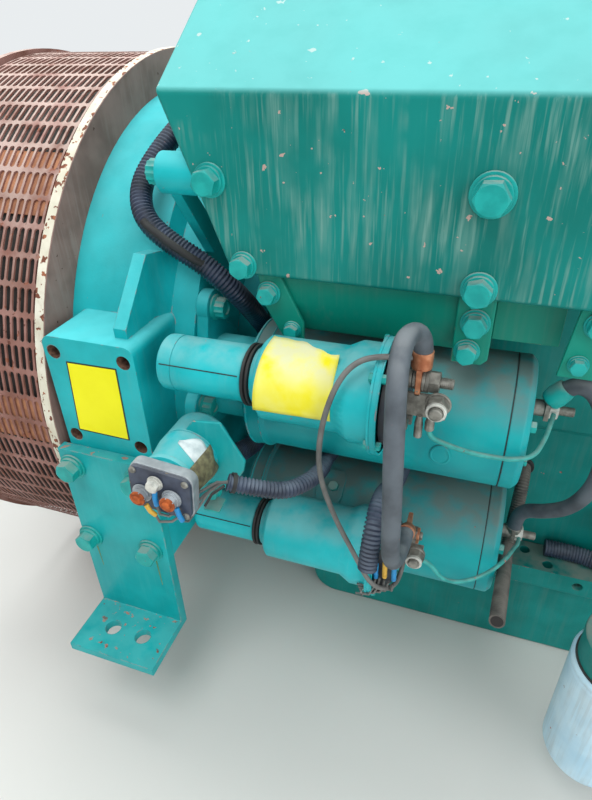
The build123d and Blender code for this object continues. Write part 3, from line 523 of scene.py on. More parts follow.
@dataclass
class Shape:
    """A mesh that is drawn in drawing millimetres and collects simple forms.

    Attributes:
        name: Name of the piece.
        bm: The mesh being built.
    """

    name: str
    bm: bmesh.types.BMesh = field(default_factory=bmesh.new)

    def ring_walls(self, rings: list[list[Vector]], caps: bool = True) -> None:
        """Skin a row of rings and close its ends.

        Args:
            rings: Rings of places, all of one length.
            caps: True to close the first and the last ring.
        """
        rows = [[self.bm.verts.new(place) for place in ring] for ring in rings]
        count = len(rows[0])
        for lower, upper in zip(rows, rows[1:]):
            for i in range(count):
                j = (i + 1) % count
                self.bm.faces.new((lower[i], lower[j], upper[j], upper[i]))
        if caps:
            self.bm.faces.new(rows[0][::-1])
            self.bm.faces.new(rows[-1])

    def lathe(self, foot: Point, axis: Point, outline: Outline, sides: int = 48) -> "Shape":
        """Turn an outline about a line.

        Args:
            foot: A place on the line.
            axis: The line's direction.
            outline: Pairs of distance along the line and radius.
            sides: Facets round the line.

        Returns:
            This shape.
        """
        line = Vector(axis).normalized()
        side = line.orthogonal().normalized()
        other = line.cross(side)
        rings = []
        for along, radius in outline:
            middle = Vector(foot) + line * along
            rings.append([middle + (side * math.cos(a) + other * math.sin(a)) * max(radius, 0.01)
                          for a in turns(sides)])
        self.ring_walls(rings)
        return self

    def hoop(self, profile: Outline, sides: int) -> "Shape":
        """Turn a closed profile about the crank, welded where it meets itself.

        Args:
            profile: Pairs of x and radius.
            sides: Facets round the crank.

        Returns:
            This shape.
        """
        self.ring_walls([[Vector((x, r * math.sin(a), r * math.cos(a))) for a in turns(sides)]
                         for x, r in (*profile, profile[0])], caps=False)
        bmesh.ops.remove_doubles(self.bm, verts=self.bm.verts, dist=0.001)
        return self

    def disc(self, foot: Point, axis: Point, width: float, radius: float, drop: float, ease: float,
             sides: int = 32) -> "Shape":
        """Turn a disc whose two rims are eased.

        Args:
            foot: Middle of its first face.
            axis: The way that it faces.
            width: Its thickness.
            radius: Its radius.
            drop: How much smaller its faces are.
            ease: Length of each eased rim.
            sides: Facets round it.

        Returns:
            This shape.
        """
        return self.lathe(foot, axis, [(0, radius - drop), (ease, radius), (width - ease, radius),
                                       (width, radius - drop)], sides)

    def prism(self, corners: Sequence[Point], push: Point) -> "Shape":
        """Push a flat outline along a direction.

        Args:
            corners: Places of the outline.
            push: The move to the other end.

        Returns:
            This shape.
        """
        start = [Vector(corner) for corner in corners]
        self.ring_walls([start, [corner + Vector(push) for corner in start]])
        return self

    def box(self, low: Point, high: Point) -> "Shape":
        """Add a box between two corners.

        Args:
            low: Its lowest corner.
            high: Its highest corner.

        Returns:
            This shape.
        """
        (x0, y0, z0), (x1, y1, z1) = low, high
        return self.prism([(x0, y0, z0), (x1, y0, z0), (x1, y1, z0), (x0, y1, z0)], (0, 0, z1 - z0))

    def tube(self, route: Sequence[Point], radius: float, sides: int = 12) -> "Shape":
        """Skin a round bar along a short route.

        Args:
            route: Places along its middle.
            radius: Its radius.
            sides: Facets round it.

        Returns:
            This shape.
        """
        places = [Vector(place) for place in route]
        rings = []
        side = (places[1] - places[0]).orthogonal().normalized()
        for i, place in enumerate(places):
            ahead = (places[min(i + 1, len(places) - 1)] - places[max(i - 1, 0)]).normalized()
            side = (side - ahead * side.dot(ahead)).normalized()
            other = ahead.cross(side)
            rings.append([place + (side * math.cos(a) + other * math.sin(a)) * radius
                          for a in turns(sides)])
        self.ring_walls(rings)
        return self

    def finish(self, bevel: float = 0.0, segments: int = 2, angle: float = 35.0, smooth: float = 38.0,
               local: bool = False) -> Piece:
        """Turn the mesh into an object in the row frame, with its edges rounded.

        Args:
            bevel: Width of the rounded edges in millimetres.
            segments: Steps in each rounded edge.
            angle: Edges sharper than this many degrees are rounded.
            smooth: Edges flatter than this many degrees are shaded smooth.
            local: True keeps the mesh as drawn, for a template.

        Returns:
            The finished object.
        """
        for vert in () if local else self.bm.verts:
            vert.co = at(*vert.co)
        bmesh.ops.recalc_face_normals(self.bm, faces=self.bm.faces)
        mesh = bpy.data.meshes.new(self.name)
        self.bm.to_mesh(mesh)
        self.bm.free()
        return rounded(placed(self.name, mesh), bevel, segments, angle, smooth)


def shade(piece: Piece, angle: float) -> None:
    """Shade a piece smooth, but sharp where an edge turns more than an angle in degrees."""
    piece.data.shade_smooth()
    piece.data.set_sharp_from_angle(angle=math.radians(angle))


def rounded(piece: Piece, bevel: float, segments: int, angle: float, smooth: float = 38.0) -> Piece:
    """Round a piece's sharp edges and shade the rest smooth.

    Args:
        piece: A mesh object.
        bevel: Width of the rounded edges in millimetres.
        segments: Steps in each rounded edge.
        angle: Edges sharper than this many degrees are rounded.
        smooth: Edges flatter than this many degrees are shaded smooth.

    Returns:
        The same object, with the rounding applied.
    """
    if bevel:
        cut = piece.modifiers.new("rounding", "BEVEL")
        cut.width = bevel * MM
        cut.segments = segments
        cut.limit_method = "ANGLE"
        cut.angle_limit = math.radians(angle)
        apply(piece)
    shade(piece, smooth)
    level = piece.modifiers.new("level", "WEIGHTED_NORMAL")
    level.keep_sharp = True
    return apply(piece)


def evaluated(piece: Piece, name: str) -> bpy.types.Mesh:
    """Make a plain mesh of an object's evaluated form.

    Args:
        piece: The object to evaluate.
        name: Name of the mesh.

    Returns:
        The mesh.
    """
    graph = bpy.context.evaluated_depsgraph_get()
    graph.update()
    mesh = bpy.data.meshes.new_from_object(piece.evaluated_get(graph))
    mesh.name = name
    return mesh


def apply(piece: Piece) -> Piece:
    """Turn a piece's modifiers into its mesh.

    Args:
        piece: An object with modifiers.

    Returns:
        The same object with a plain mesh and no modifiers.
    """
    mesh = evaluated(piece, piece.name)
    piece.modifiers.clear()
    piece.data = mesh
    return piece


def softened(node: str, name: str, bevel: float, finish: Coat, segments: int = 3) -> Piece:
    """Give a CAD node's form rounded edges, and let it stand for the node.

    Args:
        node: The CAD node.
        name: Name of the new piece.
        bevel: Width of the rounded edges in millimetres.
        finish: The finish that it takes.
        segments: Steps in each rounded edge.

    Returns:
        The new piece.
    """
    bm = bmesh.new()
    bm.from_mesh(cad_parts[node].data)
    bmesh.ops.remove_doubles(bm, verts=bm.verts, dist=0.01 * MM)
    bmesh.ops.dissolve_limit(bm, angle_limit=math.radians(0.5), verts=bm.verts, edges=bm.edges)
    bmesh.ops.recalc_face_normals(bm, faces=bm.faces)
    mesh = bpy.data.meshes.new(name)
    bm.to_mesh(mesh)
    bm.free()
    return settle(rounded(placed(name, mesh), bevel, segments, 30.0), finish, node)


def new_tree(name: str, sizes: dict[str, float | int]) -> tuple[Tree, Node, Node]:
    """Start a Geometry Nodes tree with named inputs for its sizes.

    Args:
        name: Name of the tree.
        sizes: Each input's name and value.

    Returns:
        The tree, its input node and its output node.
    """
    tree = bpy.data.node_groups.new(name, "GeometryNodeTree")
    tree.interface.new_socket("Geometry", in_out="INPUT", socket_type="NodeSocketGeometry")
    tree.interface.new_socket("Material", in_out="INPUT", socket_type="NodeSocketMaterial")
    for label, value in sizes.items():
        kind = "NodeSocketInt" if isinstance(value, int) else "NodeSocketFloat"
        tree.interface.new_socket(label, in_out="INPUT", socket_type=kind)
    tree.interface.new_socket("Geometry", in_out="OUTPUT", socket_type="NodeSocketGeometry")
    return tree, add_node(tree, "NodeGroupInput"), add_node(tree, "NodeGroupOutput")


def run_tree(piece: Piece, tree: Tree, material: bpy.types.Material,
             sizes: dict[str, object]) -> Piece:
    """Run a tree on a piece, with its inputs set by identifier, and keep the plain mesh.

    Args:
        piece: The object that takes the modifier.
        tree: The Geometry Nodes tree.
        material: The material for its Material input.
        sizes: Values of the other inputs, by name.

    Returns:
        The same object with the result as its mesh.
    """
    modifier = piece.modifiers.new(tree.name, "NODES")
    modifier.node_group = tree
    values = {"Material": material, **sizes}
    for item in tree.interface.items_tree:
        if item.in_out == "INPUT" and item.name in values:
            modifier[item.identifier] = values[item.name]
    return apply(piece)


def closing(tree: Tree, start: Node, end: Node, geometry: Node) -> Tree:
    """End a tree in Realize Instances and Set Material.

    Args:
        tree: The tree.
        start: Its input node.
        end: Its output node.
        geometry: The geometry to close with.

    Returns:
        The tree.
    """
    real = add_node(tree, "GeometryNodeRealizeInstances", {0: geometry})
    dressed = add_node(tree, "GeometryNodeSetMaterial", {0: real, "Material": start.outputs["Material"]})
    tree.links.new(dressed.outputs[0], end.inputs[0])
    return tree


@dataclass
class Cable:
    """One cable or loom held by the assembly, on a smooth NURBS route.

    Attributes:
        name: Name of the piece.
        node: The CAD node that it stands for.
        diameter: Outside diameter in millimetres.
        length: Real length in millimetres. Not used by this script.
        route: Control points in drawing millimetres, as the part's source has them.
        finish: The finish of its outside.
        ridge: Pitch of its corrugations in millimetres, or 0 for a smooth cable.
        stiffness: How stiff it is. Not used by this script.
        depth: Depth of its corrugations in millimetres.
    """

    name: str
    node: str
    diameter: float
    length: float
    route: Sequence[Point]
    finish: Stock
    ridge: float = 0.0
    stiffness: str = "medium"
    depth: float = 1.3

    def spline(self, thick: bool) -> Piece:
        """Draw the route as an open NURBS spline.

        Args:
            thick: True for a round cable, false for the bare line.

        Returns:
            The curve object.
        """
        curve = bpy.data.curves.new(self.name, "CURVE")
        curve.dimensions = "3D"
        curve.resolution_u = 10
        line = curve.splines.new("NURBS")
        line.points.add(len(self.route) - 1)
        for point, place in zip(line.points, self.route):
            point.co = (*at(*place), 1.0)
        line.order_u = 3
        line.use_endpoint_u = True
        if thick:
            curve.bevel_depth = self.diameter * MM / 2
            curve.bevel_resolution = 6
            curve.use_fill_caps = True
        return placed(self.name, curve)

    def line_places(self) -> list[Vector]:
        """Read places along the route's own spline.

        Returns:
            Places in metres, from the first end to the last.
        """
        bare = self.spline(False)
        line = evaluated(bare, self.name + "_line")
        places = [vert.co.copy() for vert in line.vertices]
        bpy.data.objects.remove(bare)
        bpy.data.meshes.remove(line)
        return places

    def tree(self) -> Tree:
        """Make the tree that skins a line with ridges and grooves.

        Returns:
            The tree.
        """
        made = bpy.data.node_groups.get("ridged_conduit")
        if made:
            return made
        tree, start, end = new_tree("ridged_conduit", {
            "Radius": 0.01, "Depth": 0.001, "Pitch": 0.003, "Sides": 16})
        add = partial(add_node, tree)
        size = start.outputs
        quarter = add("ShaderNodeMath", {0: size["Pitch"], 1: 4.0}, operation="DIVIDE")
        line = add("GeometryNodeMeshToCurve", {0: size["Geometry"]})
        even = add("GeometryNodeResampleCurve", {0: line, "Length": quarter}, mode="LENGTH")
        index = add("GeometryNodeInputIndex")
        turn = add("ShaderNodeMath", {0: index, 1: 4.0}, operation="MODULO")
        groove = add("ShaderNodeMath", {0: turn, 1: 1.5}, operation="GREATER_THAN")
        drop = add("ShaderNodeMath", {0: groove, 1: size["Depth"]}, operation="MULTIPLY")
        width = add("ShaderNodeMath", {0: size["Radius"], 1: drop}, operation="SUBTRACT")
        loop = add("GeometryNodeCurvePrimitiveCircle", {"Resolution": size["Sides"], "Radius": 1.0})
        skin = add("GeometryNodeCurveToMesh", {
            0: even, "Profile Curve": loop, "Scale": width, "Fill Caps": True})
        soft = add("GeometryNodeSetShadeSmooth", {0: skin})
        return closing(tree, start, end, soft)

    def build(self) -> Piece:
        """Returns:
            The finished piece.
        """
        if self.ridge:
            places = self.line_places()
            mesh = bpy.data.meshes.new(self.name)
            mesh.from_pydata(places, [(i, i + 1) for i in range(len(places) - 1)], [])
            piece = placed(self.name, mesh)
            run_tree(piece, self.tree(), self.finish.value.build(), {
                "Radius": self.diameter * MM / 2, "Depth": self.depth * MM, "Pitch": self.ridge * MM,
                "Sides": 18})
        else:
            piece = self.spline(True)
        settle(piece, self.finish, self.node)
        return piece


# Sizes that several pieces share: the lugs' x, the terminal caps' face, the starters' middles and radii
LUG_X = 415.0
TERM_X = 404.0
MOTOR_R = 74.0
UPPER_MOTOR = (-275.0, 58.0)
LOWER_MOTOR = (-236.7, -154.2)
UPPER_SOLENOID = (-372.2, 126.6)
UPPER_SOLENOID_R = 43.5

CABLES = (
    Cable("battery_jumper_cable", "jumper_cable", 18.0, 398.0, (
        (LUG_X, -377, 184), (414, -379, 198), (407, -391, 209), (402, -418, 210), (404, -442, 188),
        (407, -454, 150), (410, -460, 98), (412, -460, 48), (412, -455, 6), (413, -436, -30),
        (LUG_X, -402, -50), (LUG_X, -366.9, -54.2)), Stock.CABLE, stiffness="stiff"),
    Cable("ground_jumper_cable", "ground_cable", 18.0, 313.0, (
        (545.7, -268, 93.6), (555.9, -268, 107.2), (571, -270, 109), (585, -271, 97), (596, -272, 70),
        (604, -272, 36), (607, -270, 0), (602, -264, -36), (588, -256, -68), (564, -244, -90),
        (547, -236, -100), (538.5, -232, -116), (538.5, -232, -134)), Stock.CABLE, stiffness="stiff"),
    Cable("main_corrugated_loom", "main_loom", 25.0, 880.0, (
        (166, -60, 372), (148, -60, 372), (131, -67, 371), (116, -92, 367), (106, -140, 353),
        (96, -192, 333), (80, -234, 304), (73, -264, 278), (88, -290, 252), (120, -296, 230),
        (158, -293, 208), (183, -288, 184), (196, -271, 156), (198, -247, 128), (196, -218, 100),
        (196, -199, 62), (197, -199, 15), (199, -215, -20), (200, -255, -38), (200, -305, -30),
        (197, -350, -8), (194, -386, 22), (194, -410, 22)), Stock.CONDUIT, ridge=4.2),
    Cable("relay_corrugated_loom", "relay_loom", 18.0, 357.0, (
        (247.6, -456, 51), (272, -446, 41), (298, -430, 30), (314, -406, 27), (319, -376, 20),
        (312, -342, 2), (302, -305, -26), (303, -250, -42), (312, -192, -16), (318, -160, -10)),
        Stock.DUSTY_CONDUIT, ridge=4.0, depth=1.6),
    Cable("terminal_corrugated_conduit", "terminal_conduit", 21.0, 310.0, (
        (392, -156, -50), (392, -190, -50), (391, -240, -50), (390, -285, -46), (388, -327, -28),
        (387, -362, -5), (387, -396, 2), (387, -421, -18), (386.5, -431, -52)), Stock.DUSTY_CONDUIT,
        ridge=4.4, depth=1.7),
    Cable("stub_corrugated_hose", "stub_hose", 18.0, 285.0, (
        (541, -156, -95), (541, -178, -95), (540, -196, -124), (538, -208, -160), (536, -232, -180),
        (534, -272, -176), (531, -318, -152), (527, -388, -136)), Stock.OLD_HOSE, ridge=3.4, depth=0.9),
    Cable("rail_corrugated_loom", "rail_loom", 25.0, 205.0, (
        (592, -166, -224.2), (628, -164.6, -224.3), (666, -174, -223), (698, -194, -216), (727, -207, -206),
        (752, -184, -196), (752, -156, -196)), Stock.DUSTY_CONDUIT, ridge=4.2),
    Cable("signal_thin_wire", "signal_wire", 5.5, 442.0, (
        (LUG_X - 8.9, -382.4, 178), (397, -388, 178), (384, -398, 184.5), (362, -409, 182),
        (347, -423, 163), (334, -428, 113), (331, -424, 56), (345, -409, -15), (368, -407, -66),
        (383, -405, -103), (397, -402, -115), (411, -384, -126), (LUG_X, -360, -118), (LUG_X, -360, -98)),
        Stock.SHEATH, stiffness="limp"),
    Cable("upper_sensing_wire", "upper_sense_wire", 5.0, 197.0, (
        (TERM_X + 25, -389, 108), (TERM_X + 25, -389, 100), (447, -389, 94), (469, -371, 76),
        (490, -359, 67), (509, -358, 67), (528, -350, 69), (537, -322, 71), (542, -298, 74),
        (545, -278.4, 75)), Stock.TEAL_SHEATH, stiffness="limp"),
    Cable("lower_sensing_wire", "lower_sense_wire", 5.0, 209.0, (
        (438.3, -371.5, -86), (447, -372, -88), (459, -373, -106), (477, -361, -121), (497, -347, -123),
        (514, -337, -114), (524, -324, -111), (532, -304, -117), (539, -276, -130), (545, -256, -142),
        (546, -242.2, -145)), Stock.TEAL_SHEATH, stiffness="limp"),
)


@dataclass
class Guard:
    """The vented guard: coupling ring, slotted screen, end ring and what shows inside.

    Attributes:
        radius: Outside radius of the screen.
        sheet: Thickness of the sheet.
        x0: Left end of the screen.
        x1: Right end of the screen.
        columns: Slots round the screen.
        rows: Slots along the screen.
        slot_width: Width of a slot.
        bridge: Metal left between the ends of two slots.
        blades: Blades round the fan.
    """

    radius: float = 393.0
    sheet: float = 2.5
    x0: float = -238.0
    x1: float = -24.5
    columns: int = 72
    rows: int = 21
    slot_width: float = 7.2
    bridge: float = 5.0
    blades: int = 40

    def tree(self) -> Tree:
        """Make the tree that punches slots in a flat cell, repeats it and rolls it up.

        Returns:
            The tree.
        """
        tree, start, end = new_tree("rolled_slotted_sheet", {
            "Radius": 0.4, "Left": 0.0, "Row Pitch": 0.01, "Slot Width": 0.006, "Bridge": 0.005,
            "Sheet": 0.0025, "Columns": self.columns, "Rows": self.rows})
        add = partial(add_node, tree)
        size = start.outputs
        turn = add("ShaderNodeMath", {0: size["Radius"], 1: 2 * math.pi}, operation="MULTIPLY")
        pitch = add("ShaderNodeMath", {0: turn, 1: size["Columns"]}, operation="DIVIDE")
        cell = add("GeometryNodeCurvePrimitiveQuadrilateral", {
            "Width": size["Row Pitch"], "Height": pitch})
        halved = add("GeometryNodeSubdivideCurve", {0: cell, "Cuts": 1})
        tall = add("ShaderNodeMath", {0: pitch, 1: size["Bridge"]}, operation="SUBTRACT")
        hole = add("GeometryNodeCurvePrimitiveQuadrilateral", {
            "Width": size["Slot Width"], "Height": tall})
        nose = add("ShaderNodeMath", {0: size["Slot Width"], 1: 0.48}, operation="MULTIPLY")
        slot = add("GeometryNodeFilletCurve", {
            0: hole, "Radius": nose, "Count": 3, "Limit Radius": True}, mode="POLY")
        both = add("GeometryNodeJoinGeometry", {0: halved})
        tree.links.new(slot.outputs[0], both.inputs[0])
        punched = add("GeometryNodeFillCurve", {0: both}, mode="TRIANGLES")
        across = add("ShaderNodeCombineXYZ", {0: size["Row Pitch"]})
        along = add("ShaderNodeCombineXYZ", {1: pitch})
        row = add("GeometryNodeMeshLine", {"Count": size["Rows"], "Offset": across}, mode="OFFSET")
        one = add("GeometryNodeInstanceOnPoints", {"Points": row, "Instance": punched})
        column = add("GeometryNodeMeshLine", {"Count": size["Columns"], "Offset": along}, mode="OFFSET")
        grid = add("GeometryNodeInstanceOnPoints", {"Points": column, "Instance": one})
        flat = add("GeometryNodeRealizeInstances", {0: grid})
        place = add("ShaderNodeSeparateXYZ", {0: add("GeometryNodeInputPosition")})
        angle = add("ShaderNodeMath", {0: place.outputs[1], 1: size["Radius"]}, operation="DIVIDE")
        half = add("ShaderNodeMath", {0: size["Row Pitch"], 1: 0.5}, operation="MULTIPLY")
        first = add("ShaderNodeMath", {0: half, 1: size["Left"]}, operation="ADD")
        x = add("ShaderNodeMath", {0: place, 1: first}, operation="ADD")
        sine = add("ShaderNodeMath", {0: angle}, operation="SINE")
        cosine = add("ShaderNodeMath", {0: angle}, operation="COSINE")
        y = add("ShaderNodeMath", {0: sine, 1: size["Radius"]}, operation="MULTIPLY")
        z = add("ShaderNodeMath", {0: cosine, 1: size["Radius"]}, operation="MULTIPLY")
        bent = add("ShaderNodeCombineXYZ", {0: x, 1: y, 2: z})
        rolled = add("GeometryNodeSetPosition", {0: flat, "Position": bent})
        joined = add("GeometryNodeMergeByDistance", {0: rolled, "Distance": 0.00002})
        inwards = add("ShaderNodeMath", {0: size["Sheet"], 1: -1.0}, operation="MULTIPLY")
        normal = add("ShaderNodeCombineXYZ", {1: sine, 2: cosine})
        thick = add("GeometryNodeExtrudeMesh", {
            "Mesh": joined, "Offset": normal, "Offset Scale": inwards, "Individual": False})
        back = add("GeometryNodeFlipFaces", {0: joined})
        shell = add("GeometryNodeJoinGeometry", {0: thick})
        tree.links.new(back.outputs[0], shell.inputs[0])
        sealed = add("GeometryNodeMergeByDistance", {0: shell, "Distance": 0.00002})
        return closing(tree, start, end, sealed)

    def screen(self) -> Piece:
        """Make the slotted screen.

        Returns:
            The finished piece.
        """
        piece = placed("slotted_screen", bpy.data.meshes.new("slotted_screen"))
        run_tree(piece, self.tree(), Stock.SCREEN.value.build(), {
            "Radius": self.radius * MM, "Left": (self.x0 + DATUM_X) * MM,
            "Row Pitch": (self.x1 - self.x0) / self.rows * MM, "Slot Width": self.slot_width * MM,
            "Bridge": self.bridge * MM, "Sheet": self.sheet * MM, "Columns": self.columns,
            "Rows": self.rows})
        bm = bmesh.new()
        bm.from_mesh(piece.data)
        bmesh.ops.recalc_face_normals(bm, faces=bm.faces)
        bm.to_mesh(piece.data)
        bm.free()
        shade(piece, 40.0)
        return settle(piece, Stock.SCREEN, "guard_screen")

    def inside(self) -> None:
        """Make the near-black hoop behind the slots, painted shade for the inside of the guard, and the open
        fan drum with its fine blading.
        """
        # A closed near-black hoop just inside the screen: painted shade that shows through the slots
        shade_hoop = Shape("dark_screen_liner").hoop((
            (-228, 382), (-226, 384.5), (-34, 384.5), (-32, 382), (-34, 381.5), (-226, 381.5)), 96)
        settle(shade_hoop.finish(), Stock.IRON)
        wheel = Shape("bladed_fan_wheel")
        wheel.lathe((-158.5, 0, 0), AFT, [
            (122, 0), (122, 286), (117, 291), (1.5, 291), (0, 292.5), (0, 298), (2, 300), (20, 300),
            (24, 296), (106, 296), (110, 300), (128, 300), (130, 298), (130, 0)], 96)
        for a in turns(self.blades):
            out = Vector((0, math.sin(a), math.cos(a)))
            side = Vector((0, math.cos(a), -math.sin(a)))
            corners = [Vector((x, 0, 0)) + out * r + side * s for x, r, s in (
                (-137.0, 298.0, -6.0), (-50.0, 298.0, -2.0), (-50.0, 354.0, 3.0), (-137.0, 354.0, 9.0))]
            wheel.prism([tuple(corner) for corner in corners], tuple(side * 2.5))
        settle(wheel.finish(), Stock.IRON, "fan")

    def build(self) -> None:
        """Make the guard's pieces."""
        self.screen()
        self.inside()
        for node, finish in (("coupling_ring", Stock.RING), ("guard_end_ring", Stock.SCREEN),
                             ("drive_disc", Stock.IRON)):
            wear(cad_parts[node], finish)
            log.info("%s: the plain solid", node)


# Edges of a small head that turn more than this many degrees stay sharp
HEAD_CREASE = 22.0


class Head(Enum):
    """Kinds of fastener, drawn one millimetre across flats."""

    HEX = "hex_bolt"
    BARE_HEX = "hex_screw"
    TWELVE = "twelve_point_bolt"
    CROSS = "cross_head_screw"


@dataclass(frozen=True)
class Fixing:
    """One fastener's place.

    Attributes:
        place: Its seat in drawing millimetres.
        axis: The way that its head points.
        size: Millimetres across its flats.
        turn: Turn about its axis in degrees.
    """

    place: Point
    axis: Point
    size: float
    turn: float


def flats(angle: float, points: int) -> float:
    """Give the radius of a head with flats one apart, at an angle.

    Args:
        angle: Angle round the head in radians.
        points: Six for a hexagon, twelve for two hexagons.

    Returns:
        The radius at that angle.
    """
    shifts = (0.0, math.pi / 6) if points == 12 else (0.0,)
    off = [abs((angle + shift) % (math.pi / 3) - math.pi / 6) for shift in shifts]
    return max(0.5 / math.cos(value) for value in off)


def head_template(kind: Head) -> Piece:
    """Draw one fastener along Z, one millimetre across its flats.

    Args:
        kind: The kind of fastener.

    Returns:
        The template object.
    """
    shape = Shape("template_" + kind.value)

    def stack(levels: Sequence[tuple[float, Callable[[float], float]]], count: int,
              chamfer: int = -1) -> None:
        """Skin levels whose radius depends on the angle.

        Args:
            levels: Height and radius rule of each level.
            count: Sides round the stack.
            chamfer: Index of the level that drops at its corners, as a turned chamfer leaves it.
        """
        rings = []
        for k, (z, rule) in enumerate(levels):
            rings.append([Vector((rule(a) * math.cos(a), rule(a) * math.sin(a),
                                  z - (rule(a) - 0.475) * 0.55 if k == chamfer else z))
                          for a in turns(count)])
        shape.ring_walls(rings)

    if kind is Head.CROSS:
        shape.lathe((0, 0, 0), TOP, [(0, 0.5), (0.10, 0.5), (0.26, 0.38), (0.32, 0.16)], 16)
        shape.box((-0.26, -0.05, 0.30), (0.26, 0.05, 0.335))
        shape.box((-0.05, -0.26, 0.30), (0.05, 0.26, 0.335))
    elif kind is Head.TWELVE:
        shape.lathe((0, 0, 0), TOP, [(0, 0.70), (0.10, 0.70), (0.18, 0.56)], 24)
        stack([
            (0.17, lambda a: flats(a, 12)), (0.62, lambda a: flats(a, 12)),
            (0.68, lambda a: flats(a, 12) * 0.92), (0.68, lambda a: 0.34), (0.60, lambda a: 0.30)], 48)
    else:
        low = 0.0
        if kind is not Head.BARE_HEX:
            shape.disc((0, 0, 0), TOP, 0.12, 0.73, 0.02, 0.02, 28)
            shape.disc((0, 0, 0.12), TOP, 0.16, 0.62, 0.02, 0.02, 28)
            low = 0.28
        tall = low + 0.50
        stack([(low, lambda a: flats(a, 6)), (tall, lambda a: flats(a, 6)), (tall, lambda a: 0.475),
               (tall, lambda a: 0.38)], 36, 1)
    return shape.finish(smooth=HEAD_CREASE, local=True)


@dataclass
class Fixings:
    """A set of like fasteners that Geometry Nodes put in their places.

    Attributes:
        name: Name of the piece.
        kind: Kind of fastener.
        finish: Their finish.
        places: Where they sit.
    """

    name: str
    kind: Head
    finish: Coat
    places: Sequence[Fixing]

    def tree(self, template: Piece) -> Tree:
        """Make the tree that sets the template on each point along its axis.

        Args:
            template: The fastener to repeat.

        Returns:
            The tree.
        """
        tree, start, end = new_tree("set_" + self.name, {"Scale": 1.0})
        add = partial(add_node, tree)
        read = [add("GeometryNodeInputNamedAttribute", {"Name": label}, data_type=kind)
                for label, kind in (("axis", "FLOAT_VECTOR"), ("size", "FLOAT"), ("turn", "FLOAT"))]
        aim = add("FunctionNodeAlignRotationToVector", {"Vector": read[0]}, axis="Z")
        spin = add("FunctionNodeAxisAngleToRotation", {"Axis": (0, 0, 1), "Angle": read[2]})
        both = add("FunctionNodeRotateRotation", {0: aim, 1: spin}, rotation_space="LOCAL")
        big = add("ShaderNodeMath", {0: read[1], 1: start.outputs["Scale"]}, operation="MULTIPLY")
        head = add("GeometryNodeObjectInfo", {"Object": template})
        put = add("GeometryNodeInstanceOnPoints", {
            "Points": start.outputs[0], "Instance": head.outputs["Geometry"], "Rotation": both,
            "Scale": big})
        return closing(tree, start, end, put)

    def build(self) -> Piece:
        """Make the fasteners as one plain mesh.

        Returns:
            The finished piece.
        """
        template = head_template(self.kind)
        mesh = bpy.data.meshes.new(self.name)
        mesh.from_pydata([at(*fixing.place) for fixing in self.places], [], [])
        axes = mesh.attributes.new("axis", "FLOAT_VECTOR", "POINT")
        axes.data.foreach_set("vector", [v for fixing in self.places for v in fixing.axis])
        for label, values in (("size", [f.size * MM for f in self.places]),
                              ("turn", [math.radians(f.turn) for f in self.places])):
            mesh.attributes.new(label, "FLOAT", "POINT").data.foreach_set("value", values)
        piece = placed(self.name, mesh)
        run_tree(piece, self.tree(template), self.finish.value.build(), {"Scale": 1.0})
        bpy.data.objects.remove(template)
        shade(piece, HEAD_CREASE)
        return settle(piece, self.finish)


def bolted(name: str, kind: Head, finish: Coat, axis: Point,
           rows: Sequence[tuple[float, float, float, float, float]]) -> None:
    """Set like fasteners that all face one way.

    Args:
        name: Name of the piece.
        kind: Kind of fastener.
        finish: Their finish.
        axis: The way that they face.
        rows: Each one's x, y, z, size across flats and turn.
    """
    Fixings(name, kind, finish, [
        Fixing((x, y, z), axis, size, turn) for x, y, z, size, turn in rows]).build()


